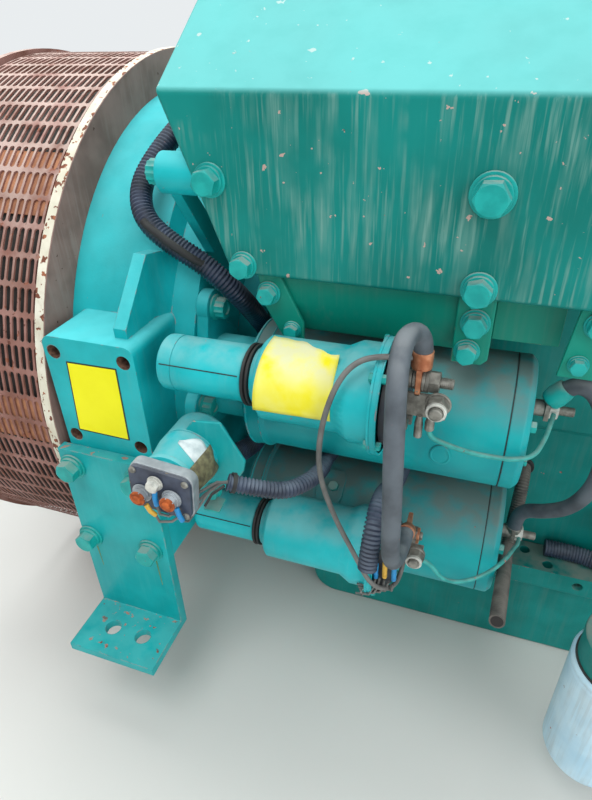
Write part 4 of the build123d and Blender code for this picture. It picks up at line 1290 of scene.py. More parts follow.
@dataclass
class Housing:
    """Flywheel housing with its pads, feet, plain stickers and bolts.

    Attributes:
        face_y: Distance of the pads' faces from the crank.
        foot_y: Distance of the foot brackets' faces from the crank.
        foot_bolts: Each foot bolt's x, z and turn.
        hole_x: The pads' holes, along the crank.
        hole_z: The pads' holes, above the crank.
        hole_r: Radius of a hole's rusted wall.
        hole_depth: Depth of a hole.
        sticker: Corners of the pad's bare yellow sticker, x and z.
    """

    face_y: float = 392.0
    foot_y: float = 406.0
    foot_bolts: Sequence[Point] = (
        (5.9, -28.0, 14.0), (1.4, -151.0, 41.0), (94.3, -148.0, 5.0), (98.0, -28.0, 27.0))
    hole_x: Sequence[float] = (11.0, 101.5)
    hole_z: Sequence[float] = (126.5, 12.5)
    hole_r: float = 8.1
    hole_depth: float = 25.4
    sticker: Outline = ((26.9, 115.1), (89.4, 116.3), (86.5, 21.5), (19.1, 22.5))

    def stickers(self) -> None:
        """Lay the bare yellow sticker on the near pad, its dark backing a little larger."""
        for name, grow, lift, finish in (("pad_sticker_backing", 1.8, 0.25, Stock.RUBBER),
                                         ("pad_sticker_face", 0.0, 0.5, Stock.STICKER)):
            shape = Shape(name)
            mid_x, mid_z = (sum(values) / 4 for values in zip(*self.sticker))
            corners = [(x + math.copysign(grow, x - mid_x), -self.face_y - 0.02,
                        z + math.copysign(grow, z - mid_z)) for x, z in self.sticker]
            shape.prism(corners, (0, -lift, 0))
            settle(shape.finish(), finish)

    def build(self) -> None:
        """Make the housing's pieces."""
        softened("flywheel_housing", "cast_flywheel_housing", 4.0, Teal.CASTING, 4)
        for side, sign in (("near", -1.0), ("far", 1.0)):
            softened("foot_bracket_" + side, "angle_foot_" + side, 3.0, Teal.PLATE)
            bolted("foot_bolts_" + side, Head.HEX, Teal.HARDWARE, (0.0, sign, 0.0), [
                (x, sign * self.foot_y, z, 24.0, turn) for x, z, turn in self.foot_bolts])
        self.stickers()
        bores = Shape("rusted_pad_bores")
        r, deep = self.hole_r, self.hole_depth
        wall = (
            (deep, 0.01), (deep, r), (0.6, r), (0.4, r + 0.35), (deep + 0.4, r + 0.35),
            (deep + 0.4, 0.01))
        for sign, axis in ((-1.0, FAR), (1.0, NEAR)):
            for x in self.hole_x:
                for z in self.hole_z:
                    bores.lathe((x, sign * self.face_y, z), axis, wall, 32)
        settle(bores.finish(), Stock.SCALE)
        weeps = Shape("rust_weeps")
        y = -self.foot_y - 0.25
        for x, z, reach in ((1.4, -166.0, 42.0), (94.3, -163.0, 52.0)):
            weeps.prism([
                (x + 3, y, z), (x + 5.6, y, z), (x + 6.4, y, z - reach), (x + 5.6, y, z - reach)], (0,
                0.5, 0))
        settle(weeps.finish(), Stock.WEEP)


@dataclass
class RingTrim:
    """Flaking cream rim of the coupling ring and the strips inside the guard.

    Attributes:
        radius: Outside radius of the ring.
        x0: Left edge of the ring.
        x1: The ring's face.
    """

    radius: float = 398.0
    x0: float = -24.5
    x1: float = -12.5

    def build(self) -> None:
        """Make the rim skin and the doubled strips of the screen."""
        r, x0, x1 = self.radius, self.x0, self.x1
        rim = Shape("flaking_ring_rim").hoop((
            (x0 - 1.5, r - 4.7), (x0 - 1.5, r + 0.3), (x1 - 2.2, r + 0.35), (x1 - 1, r - 0.4),
            (x1 - 1, r - 5), (x0, r - 5)), 180)
        settle(rim.finish(), Stock.RIM)
        steps = 14
        section = ((-236, 390.3), (-26, 390.3), (-26, 388.4), (-236, 388.4))
        for which, start, stop in (("upper", -50.5, -38.5), ("lower", -92.0, -83.0)):
            rows = []
            for i in range(steps + 1):
                a = math.radians(start + (stop - start) * i / steps)
                rows.append([Vector((x, r * math.sin(a), r * math.cos(a))) for x, r in section])
            strip = Shape("doubled_screen_strip_" + which)
            strip.ring_walls(rows)
            settle(strip.finish(), Stock.STRIP)


@dataclass
class SideBox:
    """Folded sheet box above the starters, its rail, strips and round boss.

    Attributes:
        face_y: The box's front face.
        ledge_y: Where its sloping top ends.
        back_y: Its back.
        left: Its left end.
        foot_left: Its left end at the bottom.
        foot_z: Its bottom.
        bend_z: Where its front face bends back.
        top_z: Its top.
        mid_x: The line about which its ends are alike.
        boss_shift: How far the boss stands right of its plain solid.
        strip_y: The strips' front faces.
    """

    face_y: float = -340.0
    ledge_y: float = -180.0
    back_y: float = -150.0
    left: float = 153.0
    foot_left: float = 214.0
    foot_z: float = 220.0
    bend_z: float = 384.0
    top_z: float = 491.0
    mid_x: float = 453.0
    boss_shift: float = 12.0
    strip_y: float = -330.0

    def build(self) -> None:
        """Make the box's pieces."""
        mirror = 2 * self.mid_x
        y = self.face_y
        box = Shape("folded_side_box")
        rows = []
        for end, foot in ((self.left, self.foot_left), (mirror - self.left, mirror - self.foot_left)):
            corners = ((foot, y, self.foot_z), (end, y, self.bend_z), (end, self.ledge_y, self.top_z),
                       (end, self.back_y, self.top_z), (end, self.back_y, self.bend_z),
                       (foot, self.back_y, self.foot_z))
            rows.append([Vector(corner) for corner in corners])
        box.ring_walls(rows)
        settle(box.finish(5.0, 4, 20.0), Teal.SHEET, "side_box")
        softened("box_rail", "folded_box_rail", 2.5, Teal.RAIL)
        softened("rail_strips", "bolted_rail_strips", 1.2, Teal.RAIL, 2)
        boss = softened("side_boss", "cast_side_boss", 2.5, Teal.CASTING)
        boss.data.transform(Matrix.Translation((self.boss_shift * MM, 0, 0)))
        bolted("box_face_bolts", Head.HEX, Teal.HARDWARE, NEAR, (
            (201, y, 310, 22, 12), (mirror - 201, y, 310, 22, 33), (self.mid_x, y, 312, 26, 3),
            (229, y, 231, 19, 25), (self.mid_x, y, 231, 22, 18), (mirror - 229, y, 231, 19, 8)))
        strips = (
            (250, 200, 17, 9), (274, 162, 13, 28), (454, 194, 19, 4), (450, 164, 17, 22),
            (556, 205, 17, 16), (548, 165, 13, 2))
        bolted("strip_bolts", Head.HEX, Teal.HARDWARE, NEAR, [
            (x, self.strip_y, z, size, turn) for x, z, size, turn in strips])
        bolted("boss_plug", Head.TWELVE, Teal.HARDWARE, FORE, ((128 + self.boss_shift, -318, 309, 22, 6),))


def arc_patch(name: str, centre: tuple[float, float], corners: Outline, radius: float, curl: float) -> Shape:
    """Wrap a four-cornered film round a cylinder along X.

    Args:
        name: Name of the piece.
        centre: The cylinder's y and z.
        corners: x and angle towards the viewer of its corners, in turn from the top left.
        radius: The cylinder's radius.
        curl: How far the top edge stands off, in millimetres.

    Returns:
        The shape of the film.
    """
    shape = Shape(name)
    across, down = 18, 18
    rows = []
    for j in range(down + 1):
        v = j / down
        row = []
        for i in range(across + 1):
            u = i / across
            top = [corners[0][k] * (1 - u) + corners[1][k] * u for k in (0, 1)]
            low = [corners[3][k] * (1 - u) + corners[2][k] * u for k in (0, 1)]
            x = top[0] * (1 - v) + low[0] * v
            tear = 2.2 * math.sin(9.0 * u + 0.7) + 1.3 * math.sin(23.0 * u)
            a = math.radians((top[1] + tear) * (1 - v) + low[1] * v)
            lift = curl * max(0.0, 1 - v * 5.0) ** 2 * (0.35 + 0.65 * u)
            r = radius + 0.35 + lift + 0.12 * math.sin(14 * u + 9 * v)
            row.append(Vector((x, centre[0] - r * math.sin(a), centre[1] + r * math.cos(a))))
        rows.append(row)
    verts = [[shape.bm.verts.new(place) for place in row] for row in rows]
    for j in range(down):
        for i in range(across):
            shape.bm.faces.new((verts[j][i], verts[j][i + 1], verts[j + 1][i + 1], verts[j + 1][i]))
    return shape


def thickened(piece: Piece, thickness: float) -> Piece:
    """Give a film its thickness outwards.

    Args:
        piece: An open sheet.
        thickness: Its thickness in millimetres.

    Returns:
        The same object.
    """
    solid = piece.modifiers.new("thickness", "SOLIDIFY")
    solid.thickness = thickness * MM
    solid.offset = 0.0
    return apply(piece)


# Coats of the starter's parts that differ from its turned frame's
COATS = {"drive_housing": Teal.CASTING, "solenoid": Teal.CAN, "plunger_cap": Teal.CAN}


@dataclass
class Starter:
    """One starter motor with its solenoid, dressed over the plain solids.

    Attributes:
        side: Which starter, upper or lower.
        motor: The motor's y and z.
        solenoid: The solenoid's y and z.
        solenoid_r: The solenoid's radius.
        ears: The mounting ears' y and z.
        front_x: The motor's front face.
        cap_x0: The plunger cap's left end.
        boot_x: The boot ring's left end.
        motor_r: The motor's radius.
        nose: How far the cap reaches past its plain solid.
    """

    side: str
    motor: tuple[float, float]
    solenoid: tuple[float, float]
    solenoid_r: float
    ears: Sequence[tuple[float, float]]
    front_x: float
    cap_x0: float
    boot_x: float
    motor_r: float = MOTOR_R
    nose: float = 0.0

    def around(self, centre: tuple[float, float], radius: float, angle: float) -> tuple[float, float]:
        """Give a place round a centre.

        Args:
            centre: The centre's y and z.
            radius: Distance from it.
            angle: Degrees from the top towards the viewer.

        Returns:
            The y and z there.
        """
        a = math.radians(angle)
        return centre[0] - radius * math.sin(a), centre[1] + radius * math.cos(a)

    def bands(self) -> None:
        """Make the seams, flanges and rings that stand on the starter."""
        shape = Shape(self.side + "_starter_bands")
        my, mz = self.motor
        r = self.motor_r
        for x, width, lift in ((self.front_x + 1, 3.0, 4.2), (self.front_x + 17, 2.2, 3.9)):
            shape.disc((x, my, mz), AFT, width, r + lift, 1.2, 0.8, 72)
        sy, sz = self.solenoid
        s = self.solenoid_r
        shape.disc((384.6, sy, sz), AFT, 1.4, s + 14.6, 2.6, 0.2, 64)
        shape.disc((377, sy, sz), AFT, 3.5, s + 14.8, 4.8, 0.5, 64)
        shape.lathe((self.boot_x + 8.8, sy, sz), AFT, [
            (0, s - 14.5), (0.6, s - 13.6), (14, s - 13.6), (15, s - 12.4)], 48)
        if self.nose:
            r = s - 13.5
            shape.lathe((self.cap_x0 - self.nose, sy, sz), AFT, [
                (0, r - 4), (0.8, r - 1.6), (2.4, r - 0.4), (4.5, r), (self.nose + 8, r + 0.2)], 64)
        settle(shape.finish(), Teal.CAN)
        seam = Shape(self.side + "_end_cap_seam")
        seam.disc((500.4, my, mz), AFT, 1.2, self.motor_r + 0.2, 1.2, 0.1, 96)
        y, z = self.around(self.solenoid, s - 13.3, math.degrees(1.15))
        seam.tube([(self.cap_x0 - self.nose + 5, y, z), (self.boot_x - 3, y, z)], 0.6, 8)
        settle(seam.finish(), Stock.RUBBER)

    def boot(self) -> None:
        """Make the ridged rubber boot that stands for the plain boot ring."""
        sy, sz = self.solenoid
        s = self.solenoid_r
        shape = Shape(self.side + "_ridged_boot")
        outline = [(0, s - 14), (0.3, s - 11.6), (1, s - 10.6), (3, s - 10.6), (3.8, s - 11.6),
                   (4.2, s - 13.4), (5.2, s - 13.4), (5.6, s - 11.4), (6.2, s - 10.8), (7.8, s - 10.8),
                   (8.4, s - 11.6), (8.8, s - 14.2), (17, s - 14.2)]
        shape.lathe((self.boot_x, sy, sz), AFT, outline, 56)
        settle(shape.finish(smooth=60.0), Stock.RUBBER, self.side + "_boot_ring")

    def screws(self) -> None:
        """Set the mounting, flange and through bolts."""
        bolted(self.side + "_mounting_bolts", Head.TWELVE, Teal.HARDWARE, AFT, [
            (157.0, y, z, 22.0, 10.0 * i) for i, (y, z) in enumerate(self.ears)])
        small = []
        for angle in (-28.0, 42.0, 118.0):
            y, z = self.around(self.solenoid, self.solenoid_r + 10.5, angle)
            if math.hypot(y - self.motor[0], z - self.motor[1]) > self.motor_r + 4:
                small.append(Fixing((386.0, y, z), AFT, 8.0, angle))
                small.append(Fixing((378.0, y, z), FORE, 8.0, angle))
        for angle, inset, size in ((60.0, 14, 11.0), (240.0, 14, 11.0), (100.0, 15, 7.0), (-80.0, 15, 7.0),
                                   (190.0, 15, 7.0)):
            y, z = self.around(self.motor, self.motor_r - inset, angle)
            small.append(Fixing((521.0, y, z), AFT, size, angle))
        Fixings(self.side + "_small_bolts", Head.BARE_HEX, Teal.HARDWARE, small).build()

    def build(self) -> None:
        """Make the starter's pieces."""
        for part, bevel in (("drive_housing", 3.0), ("motor", 2.0), ("end_cap", 1.5), ("solenoid", 1.5),
                            ("plunger_cap", 2.0)):
            softened(self.side + "_" + part, "%s_starter_%s" % (self.side, part), bevel,
                     COATS.get(part, Teal.STARTER))
        softened(self.side + "_terminal_cap", self.side + "_moulded_terminal_cap", 1.2, Stock.PHENOLIC, 2)
        self.bands()
        self.boot()
        self.screws()


def loom_slit() -> None:
    """Lay the smooth cable that shows where the main loom's slit has opened."""
    shape = Shape("cable_in_open_slit").tube([
        (95, -300, 252), (101, -303.5, 248), (113, -304.5, 240.5), (128, -305, 231), (144, -304.5, 221),
        (155, -302.5, 214), (161, -299, 210)], 4.6, 14)
    settle(shape.finish(), Stock.RUBBER)


def starter_labels() -> None:
    """Wrap the bare faded sticker on the upper solenoid, and set the plain oval pad and lower plate."""
    film = arc_patch("solenoid_sticker", UPPER_SOLENOID, (
        (268.5, -9.0), (341.0, 20.0), (340.0, 104.0), (261.0, 108.0)), UPPER_SOLENOID_R, 5.0)
    settle(thickened(film.finish(smooth=70.0), 0.25), Stock.WORN_STICKER)
    shape = Shape("oval_motor_pad")
    rings = []
    for grow, lift in ((1.0, 0.0), (1.0, 1.0), (0.93, 1.6), (0.80, 1.6), (0.76, 1.1), (0.3, 1.2)):
        ring = []
        for t in turns(40):
            a = math.radians(97.0 + 10.5 * grow * math.sin(t))
            r = MOTOR_R + lift
            ring.append(Vector((439.5 + 11.0 * grow * math.cos(t), UPPER_MOTOR[0] - r * math.sin(a),
                                UPPER_MOTOR[1] + r * math.cos(a))))
        rings.append(ring)
    shape.ring_walls(rings)
    settle(shape.finish(), Teal.STARTER)
    plate = Shape("lower_motor_plate")
    rows = []
    for step in range(9):
        a = math.radians(14.0 + 37.0 * step / 8)
        inset = 5.0 * max(0.0, abs(step - 4) - 2.5) / 1.5
        rows.append([Vector((x, LOWER_MOTOR[0] - r * math.sin(a), LOWER_MOTOR[1] + r * math.cos(a)))
                     for x, r in ((283.0 + inset, 73.5), (283.0 + inset, 77.2), (319.0 - inset, 77.2),
                                  (319.0 - inset, 73.5))])
    plate.ring_walls(rows)
    settle(plate.finish(0.8), Teal.STARTER)
    a = math.radians(32.8)
    seat = MOTOR_R + 3.0
    bolted("lower_plate_bolt", Head.BARE_HEX, Teal.HARDWARE, (0.0, -math.sin(a), math.cos(a)), [
        (305.4, LOWER_MOTOR[0] - seat * math.sin(a), LOWER_MOTOR[1] + seat * math.cos(a), 12.0, 20.0)])


@dataclass
class Relay:
    """Starter relay with its cast flange, moulded cap, studs, crimps and bracket.

    Attributes:
        x: Its axis, along the crank.
        z: Its axis, above the crank.
        flange_y: Back of its flange.
        turn: Tilt of the flange in degrees.
        flange: The flange's width, height and corner radius.
        cap: The cap's width, height and corner radius.
        studs: The two big studs' x and z.
        middle: The middle screw's x and z.
        can: The can's outline from its flange, as distance and radius.
    """

    x: float = 181.3
    z: float = 37.5
    flange_y: float = -462.0
    turn: float = 5.0
    flange: Point = (71.5, 56.0, 11.0)
    cap: Point = (69.0, 53.5, 10.0)
    studs: Outline = ((161.0, 33.5), (195.0, 34.5))
    middle: tuple[float, float] = (179.0, 51.0)
    can: Outline = ((0, 29.0), (24.0, 32.0), (36.0, 34.0), (47.0, 34.0))

    def tilted(self, u: float, v: float, y: float) -> Point:
        """Give a place on the tilted flange.

        Args:
            u: Distance right of its middle.
            v: Distance above its middle.
            y: Where it lies.

        Returns:
            The place.
        """
        t = math.radians(-self.turn)
        return (self.x + u * math.cos(t) - v * math.sin(t), y, self.z + u * math.sin(t) + v * math.cos(t))

    def plate(self, width: float, height: float, corner: float, y: float) -> list[Point]:
        """Outline a tilted plate with round corners.

        Args:
            width: Its width.
            height: Its height.
            corner: Radius of its corners.
            y: Where it lies.

        Returns:
            The outline's places.
        """
        places = []
        for cx, cz, start in ((1, 1, 0), (-1, 1, 90), (-1, -1, 180), (1, -1, 270)):
            for k in range(6):
                a = math.radians(start + 18 * k)
                places.append(self.tilted(cx * (width / 2 - corner) + corner * math.cos(a),
                                          cz * (height / 2 - corner) + corner * math.sin(a), y))
        return places

    def build(self) -> None:
        """Make the relay's pieces."""
        can = Shape("relay_can").lathe((self.x, self.flange_y, self.z), FAR, [
            (0, 0), *self.can, (self.can[-1][0], 0)], 64)
        settle(can.finish(2.0, smooth=50.0), Teal.CAN, "relay_body")
        softened("relay_bracket", "relay_bracket_plate", 1.2, Teal.PLATE, 2)
        front = self.plate(*self.flange, self.flange_y + 0.6)
        flange = Shape("relay_cast_flange").prism(front, (0, -12.7, 0))
        settle(flange.finish(1.2), Stock.ALLOY)
        step = Shape("relay_can_step")
        step.lathe((self.x, self.flange_y + 0.6, self.z), FAR, [
            (0, 31.5), (0.4, 32.2), (5, 32.4), (6.2, 30.5)], 56)
        step.lathe((self.x, self.flange_y + 46.5, self.z), FAR, [
            (0, 33.9), (33, 33.9), (37.5, 32.4), (40.5, 28), (41.5, 20)], 56)
        settle(step.finish(smooth=50.0), Teal.CAN)
        cap = Shape("relay_moulded_cap")
        y = self.flange_y - 12.1
        cap.prism(self.plate(*self.cap, y), (0, -4.1, 0))
        for cx, cz in (self.middle, *self.studs):
            cap.lathe((cx, y - 4, cz), NEAR, [(0, 8.5), (1.4, 8.5), (2, 7.8)], 28)
        settle(cap.finish(1.0), Stock.RELAY_CAP, "relay_cap")
        corners = ((-29, 21.5), (29, 21.5), (29, -21.5), (-29, -21.5))
        bolted("relay_cap_screws", Head.CROSS, Stock.ZINC, NEAR, [
            (*self.tilted(u, v, y - 4.1), 8.0, 30.0 + u) for u, v in corners])
        bolted("relay_middle_screw", Head.HEX, Stock.BRIGHT_ZINC, NEAR, [
            (self.middle[0], y - 5.0, self.middle[1], 12.0, 12.0)])
        bolted("relay_stud_nuts", Head.HEX, Stock.ALLOY, NEAR, [
            (cx, y - 4.5, cz, 15.0, turn) for (cx, cz), turn in zip(self.studs, (8.0, 31.0))])
        studs = Shape("relay_studs")
        for cx, cz in self.studs:
            studs.lathe((cx, y - 5, cz), NEAR, [(0, 5.4), (12, 5.4), (13.5, 4.4), (14, 3)], 20)
            studs.lathe((cx, y - 13, cz), NEAR, [(0, 7.6), (0.8, 8.4), (2.6, 8.4), (3.4, 7)], 24)
        settle(studs.finish(), Stock.STUD)
        tab = Shape("relay_bracket_tab").prism([
            (200, -413, -17), (219, -413, -17), (219, -432, -20), (200, -432, -20)], (0, 0, -2.6))
        settle(tab.finish(0.6), Teal.HARDWARE)
        bolted("relay_plate_bolt", Head.HEX, Teal.HARDWARE, NEAR, ((206, -414, -6, 13, 15),))
        self.wires(y)
        self.label()

    def wires(self, y: float) -> None:
        """Make the crimps and thin wires under the cap.

        Args:
            y: The cap's back.
        """
        blue = Shape("relay_blue_crimp")
        blue.tube([(179.5, y - 9, 46), (180, y - 11.5, 37), (180, y - 11, 27)], 2.8)
        blue.tube([(200.5, y - 8, 26), (203.5, y - 9.5, 18), (205, y - 8, 10)], 2.8)
        settle(blue.finish(), Stock.BLUE_CRIMP)
        yellow = Shape("relay_yellow_crimp")
        yellow.tube([(168, y - 12, 25), (171.5, y - 12, 17), (174.5, y - 9, 10)], 2.6)
        settle(yellow.finish(), Stock.YELLOW_CRIMP)
        thin = Shape("relay_thin_wires")
        thin.tube([
            (205, y - 8, 10), (207, y - 1, 3), (214, y + 10, 14), (226, y + 17, 34), (240, y + 18, 48),
            (248.5, y + 18, 51)], 1.5, 8)
        thin.tube([
            (180, y - 11, 27), (181, y - 10, 14), (186, y - 3, 6), (198, y + 8, 12), (214, y + 16, 30),
            (236, y + 18, 48), (248.5, y + 18, 50.5)], 1.5, 8)
        thin.tube([
            (174.5, y - 9, 10), (177, y - 8, 0), (188, y - 2, -2), (202, y + 8, 8), (220, y + 16, 28),
            (238, y + 19, 47), (249, y + 19, 51.5)], 1.5, 8)
        settle(thin.finish(), Stock.SHEATH)
        tie = Shape("relay_loom_tie")
        tie.lathe((250.5, -454.5, 49.8), (0.82, 0.46, -0.33), [
            (0, 9.2), (0, 10.4), (4, 10.4), (4, 9.2)], 28)
        tie.tube([(247, -463, 52), (236, -470, 44), (229, -474, 30)], 1.6, 6)
        settle(tie.finish(), Stock.RUBBER)

    def radius(self, y: float) -> float:
        """Give the can's radius at a place along its axis.

        Args:
            y: The place, behind the flange.

        Returns:
            The radius there.
        """
        along = y - self.flange_y
        (x0, r0), (x1, r1) = next(pair for pair in zip(self.can, self.can[1:]) if along < pair[1][0])
        return r0 + (r1 - r0) * (along - x0) / (x1 - x0)

    def label(self) -> None:
        """Lay the torn bare label and the dried dirt on the can."""
        for name, a0, a1, y0, y1, finish in (("relay_torn_label", 4.0, 58.0, -446.0, -420.0, Stock.PAPER),
                                             ("relay_dried_dirt", 52.0, 112.0, -455.0, -418.0, Stock.GLUE)):
            shape = Shape(name)
            rows = []
            for i in range(13):
                t = i / 12
                a = math.radians(a0 + (a1 - a0) * t)
                wave = 3.0 * math.sin(7.0 * t + a0)
                cut = 1.0 - 0.75 * (1 - t) ** 2 if finish is Stock.PAPER else 1.0
                row = []
                for k in range(7):
                    v = y0 + (y1 - y0) * (0.5 + (k / 6 - 0.5) * cut) + wave * (k / 6)
                    r = self.radius(v) + (0.6 if finish is Stock.PAPER else 0.9)
                    row.append(Vector((self.x + r * math.sin(a), v, self.z + r * math.cos(a))))
                rows.append([shape.bm.verts.new(place) for place in row])
            for lower, upper in zip(rows, rows[1:]):
                for k in range(6):
                    shape.bm.faces.new((lower[k], lower[k + 1], upper[k + 1], upper[k]))
            settle(thickened(shape.finish(smooth=70.0), 0.5), finish)


@dataclass
class Terminals:
    """Studs, lugs, nuts and straps on the solenoids' caps and the end caps.

    Attributes:
        battery_stud: The upper solenoid's big stud, y and z.
        motor_stud: The lower solenoid's big stud, y and z.
        upper_lug: Foot of the upper ground cable's lug.
        lug_axis: The way that the lug leans.
        ground_studs: The two ground studs' y and z.
    """

    battery_stud: tuple[float, float] = (-377.0, 153.0)
    motor_stud: tuple[float, float] = (-336.7, -84.5)
    upper_lug: Point = (538.5, -268.0, 84.0)
    lug_axis: Point = (0.6, 0.0, 0.8)
    ground_studs: Outline = ((-268.0, 75.0), (-232.0, -145.0))

    def copper(self) -> None:
        """Make the copper lugs and straps."""
        shape = Shape("copper_lugs")
        shape.lathe((LUG_X, -377, 166), TOP, [(0, 8.4), (1, 9.6), (12, 9.9), (17.5, 9.9), (18, 9.2)], 28)
        shape.box((LUG_X - 3, -388, 142), (LUG_X + 2, -366, 168))
        shape.lathe((LUG_X, -350.5, -65.7), (0, -0.82, 0.57), [
            (0, 8.4), (1, 9.6), (12, 9.9), (19.5, 9.9), (20, 9.2)], 28)
        shape.box((LUG_X - 3, -352, -94), (LUG_X + 2, -326, -60))
        for x in (409.0, 424.5):
            shape.lathe((x, *self.motor_stud), AFT, [(0, 9), (0.3, 9.6), (3, 9.6), (3.4, 9)], 32)
        settle(shape.finish(0.6), Stock.COPPER)

    def zinc(self) -> None:
        """Make the studs, washers, straps and small barrels, which stand for the plain solids."""
        shape = Shape("zinc_terminal_stacks")
        for (y, z), reach in ((self.battery_stud, 41.5), (self.motor_stud, 27.5)):
            shape.lathe((TERM_X, y, z), AFT, [(0, 5), (reach - 1, 5), (reach, 4.2)], 24)
            for k in range(8):
                shape.lathe((TERM_X + reach - 15 + 1.7 * k, y, z), AFT, [
                    (0, 4.9), (0.6, 5.4), (1.2, 4.9)], 18)
            shape.disc((TERM_X, y, z), AFT, 4, 9, 0.5, 0.4)
            shape.disc((TERM_X + 4.3, y, z), AFT, 3.4, 9, 0.5, 0.4)
        shape.lathe((TERM_X + 13, *self.battery_stud), AFT, [
            (0, 10.5), (0.5, 11), (2.8, 11), (3.2, 10.4), (3.6, 11), (6.4, 11), (7, 10.2)], 36)
        shape.box((TERM_X, -388, 120), (TERM_X + 38, -384, 144))
        shape.lathe((TERM_X + 30.5, -388, 137.5), NEAR, [(0, 11.6), (0.4, 12), (2.4, 12), (3, 11.4)], 36)
        shape.lathe((TERM_X + 30.5, -402.6, 137.5), NEAR, [(0, 6.2), (5.4, 6.2), (6.2, 5.2)], 28)
        shape.lathe((TERM_X + 15, -389, 98), TOP, [(0, 3.6), (1, 4), (16, 4), (24, 2.6)], 18)
        shape.lathe((TERM_X + 25, -389, 108), TOP, [(0, 4), (1, 4.5), (9, 4.5), (14, 2.8)], 18)
        shape.box((TERM_X, -362, -98), (TERM_X + 32, -358, -76))
        shape.lathe((TERM_X + 24, -362, -86), NEAR, [(0, 10.6), (0.4, 11), (3.4, 11), (4, 10.4)], 36)
        shape.lathe((TERM_X + 24, -376.6, -86), NEAR, [(0, 6), (4.6, 6), (5.4, 5)], 24)
        settle(shape.finish(0.5, 2), Stock.ZINC, "starter_terminals")
        nuts = (
            (20, *self.battery_stud, AFT, 18.5, 8), (30.5, -391, 137.5, NEAR, 19, 12),
            (13, *self.motor_stud, AFT, 18, 20), (24, -366, -86, NEAR, 18, 5), (0, -392, 112, AFT, 10, 5),
            (0, -360, 96, AFT, 10, 25), (0, -364, -130, AFT, 10, 15))
        Fixings("terminal_nuts", Head.BARE_HEX, Stock.ZINC, [
            Fixing((TERM_X + x, y, z), axis, size, turn) for x, y, z, axis, size, turn in nuts]).build()
        rings = Shape("bright_stud_collars")
        for x, y, z in ((TERM_X + 30.5, -400.8, 137.5), (TERM_X + 24, -375.0, -86)):
            rings.lathe((x, y, z), NEAR, [
                (0, 8.6), (0.4, 9.4), (3.2, 9.4), (3.8, 8.8), (3.8, 7.2), (2.0, 6.6)], 40)
        settle(rings.finish(), Stock.BRIGHT_ZINC)

    def ground(self) -> None:
        """Make the ground studs and lugs, which stand for the plain solids."""
        shape = Shape("ground_stud_stacks")
        for y, z in self.ground_studs:
            shape.disc((521, y, z), AFT, 15, 9, 0.6, 0.6)
            shape.lathe((536, y, z), AFT, [(0, 5), (29, 5), (30, 4.2)], 20)
            for k in range(7):
                shape.lathe((553.5 + 1.7 * k, y, z), AFT, [(0, 4.9), (0.6, 5.4), (1.2, 4.9)], 16)
            shape.box((536, y - 10, z - 10), (541, y + 10, z + 10))
        shape.lathe((538.5, -232, -142), TOP, [(0, 9.2), (1, 9.9), (7.4, 9.9), (8, 9.2)], 28)
        shape.lathe(self.upper_lug, self.lug_axis, [(0, 9.2), (1, 9.9), (11.4, 9.9), (12, 9.2)], 28)
        settle(shape.finish(0.5, 2), Stock.ZINC, "ground_studs")
        bolted("ground_nuts", Head.BARE_HEX, Stock.BRIGHT_ZINC, AFT, [
            (541, y, z, 18, turn) for (y, z), turn in zip(self.ground_studs, (10, 22))])
        # A near-black disc just inside the hose's end: painted shade for its open mouth
        mouth = Shape("open_hose_mouth").lathe((527, -388, -136), (-0.056, -0.973, 0.222), [
            (-0.5, 7), (0.25, 7), (0.3, 5)], 32)
        settle(mouth.finish(), Stock.IRON)
        boot = Shape("painted_ground_boot").lathe(self.upper_lug, self.lug_axis, [
            (1, 10.2), (3, 11.6), (10, 12.4), (20, 11.8), (24, 10.6), (24.5, 9.4)], 28)
        settle(boot.finish(smooth=60.0), Teal.HARDWARE)

    def wires(self) -> None:
        """Make the crimps and the tied thin wires under the lower cap."""
        y = -386.0
        for name, finish, x, z in (("terminal_blue_crimp", Stock.BLUE_CRIMP, 389.0, -96.0),
                                   ("terminal_yellow_crimp", Stock.YELLOW_CRIMP, 399.0, -92.0),
                                   ("terminal_second_blue_crimp", Stock.BLUE_CRIMP, 409.5, -93.0)):
            shape = Shape(name)
            shape.tube([(x, y - 8, z + 12), (x + 0.5, y - 10, z), (x + 0.5, y - 8, z - 10)], 2.9)
            settle(shape.finish(), finish)
        thin = Shape("terminal_thin_wires")
        for k, x in enumerate((389.5, 394.0, 399.5, 404.0, 410.0)):
            thin.tube([
                (x, y - 8, -104 - 2 * k), (x - 1, y - 10, -120),
                (x - 6 + k, y - 12 + 2 * k, -134 + 2 * k), (x - 22, y - 10 + 2 * k, -140 + 2 * k),
                (376 - 2 * k, y - 12 + k, -138 + 3 * k)], 1.4, 8)
        settle(thin.finish(), Stock.SHEATH)

    def build(self) -> None:
        """Make the terminals' pieces."""
        self.copper()
        self.zinc()
        self.ground()
        self.wires()


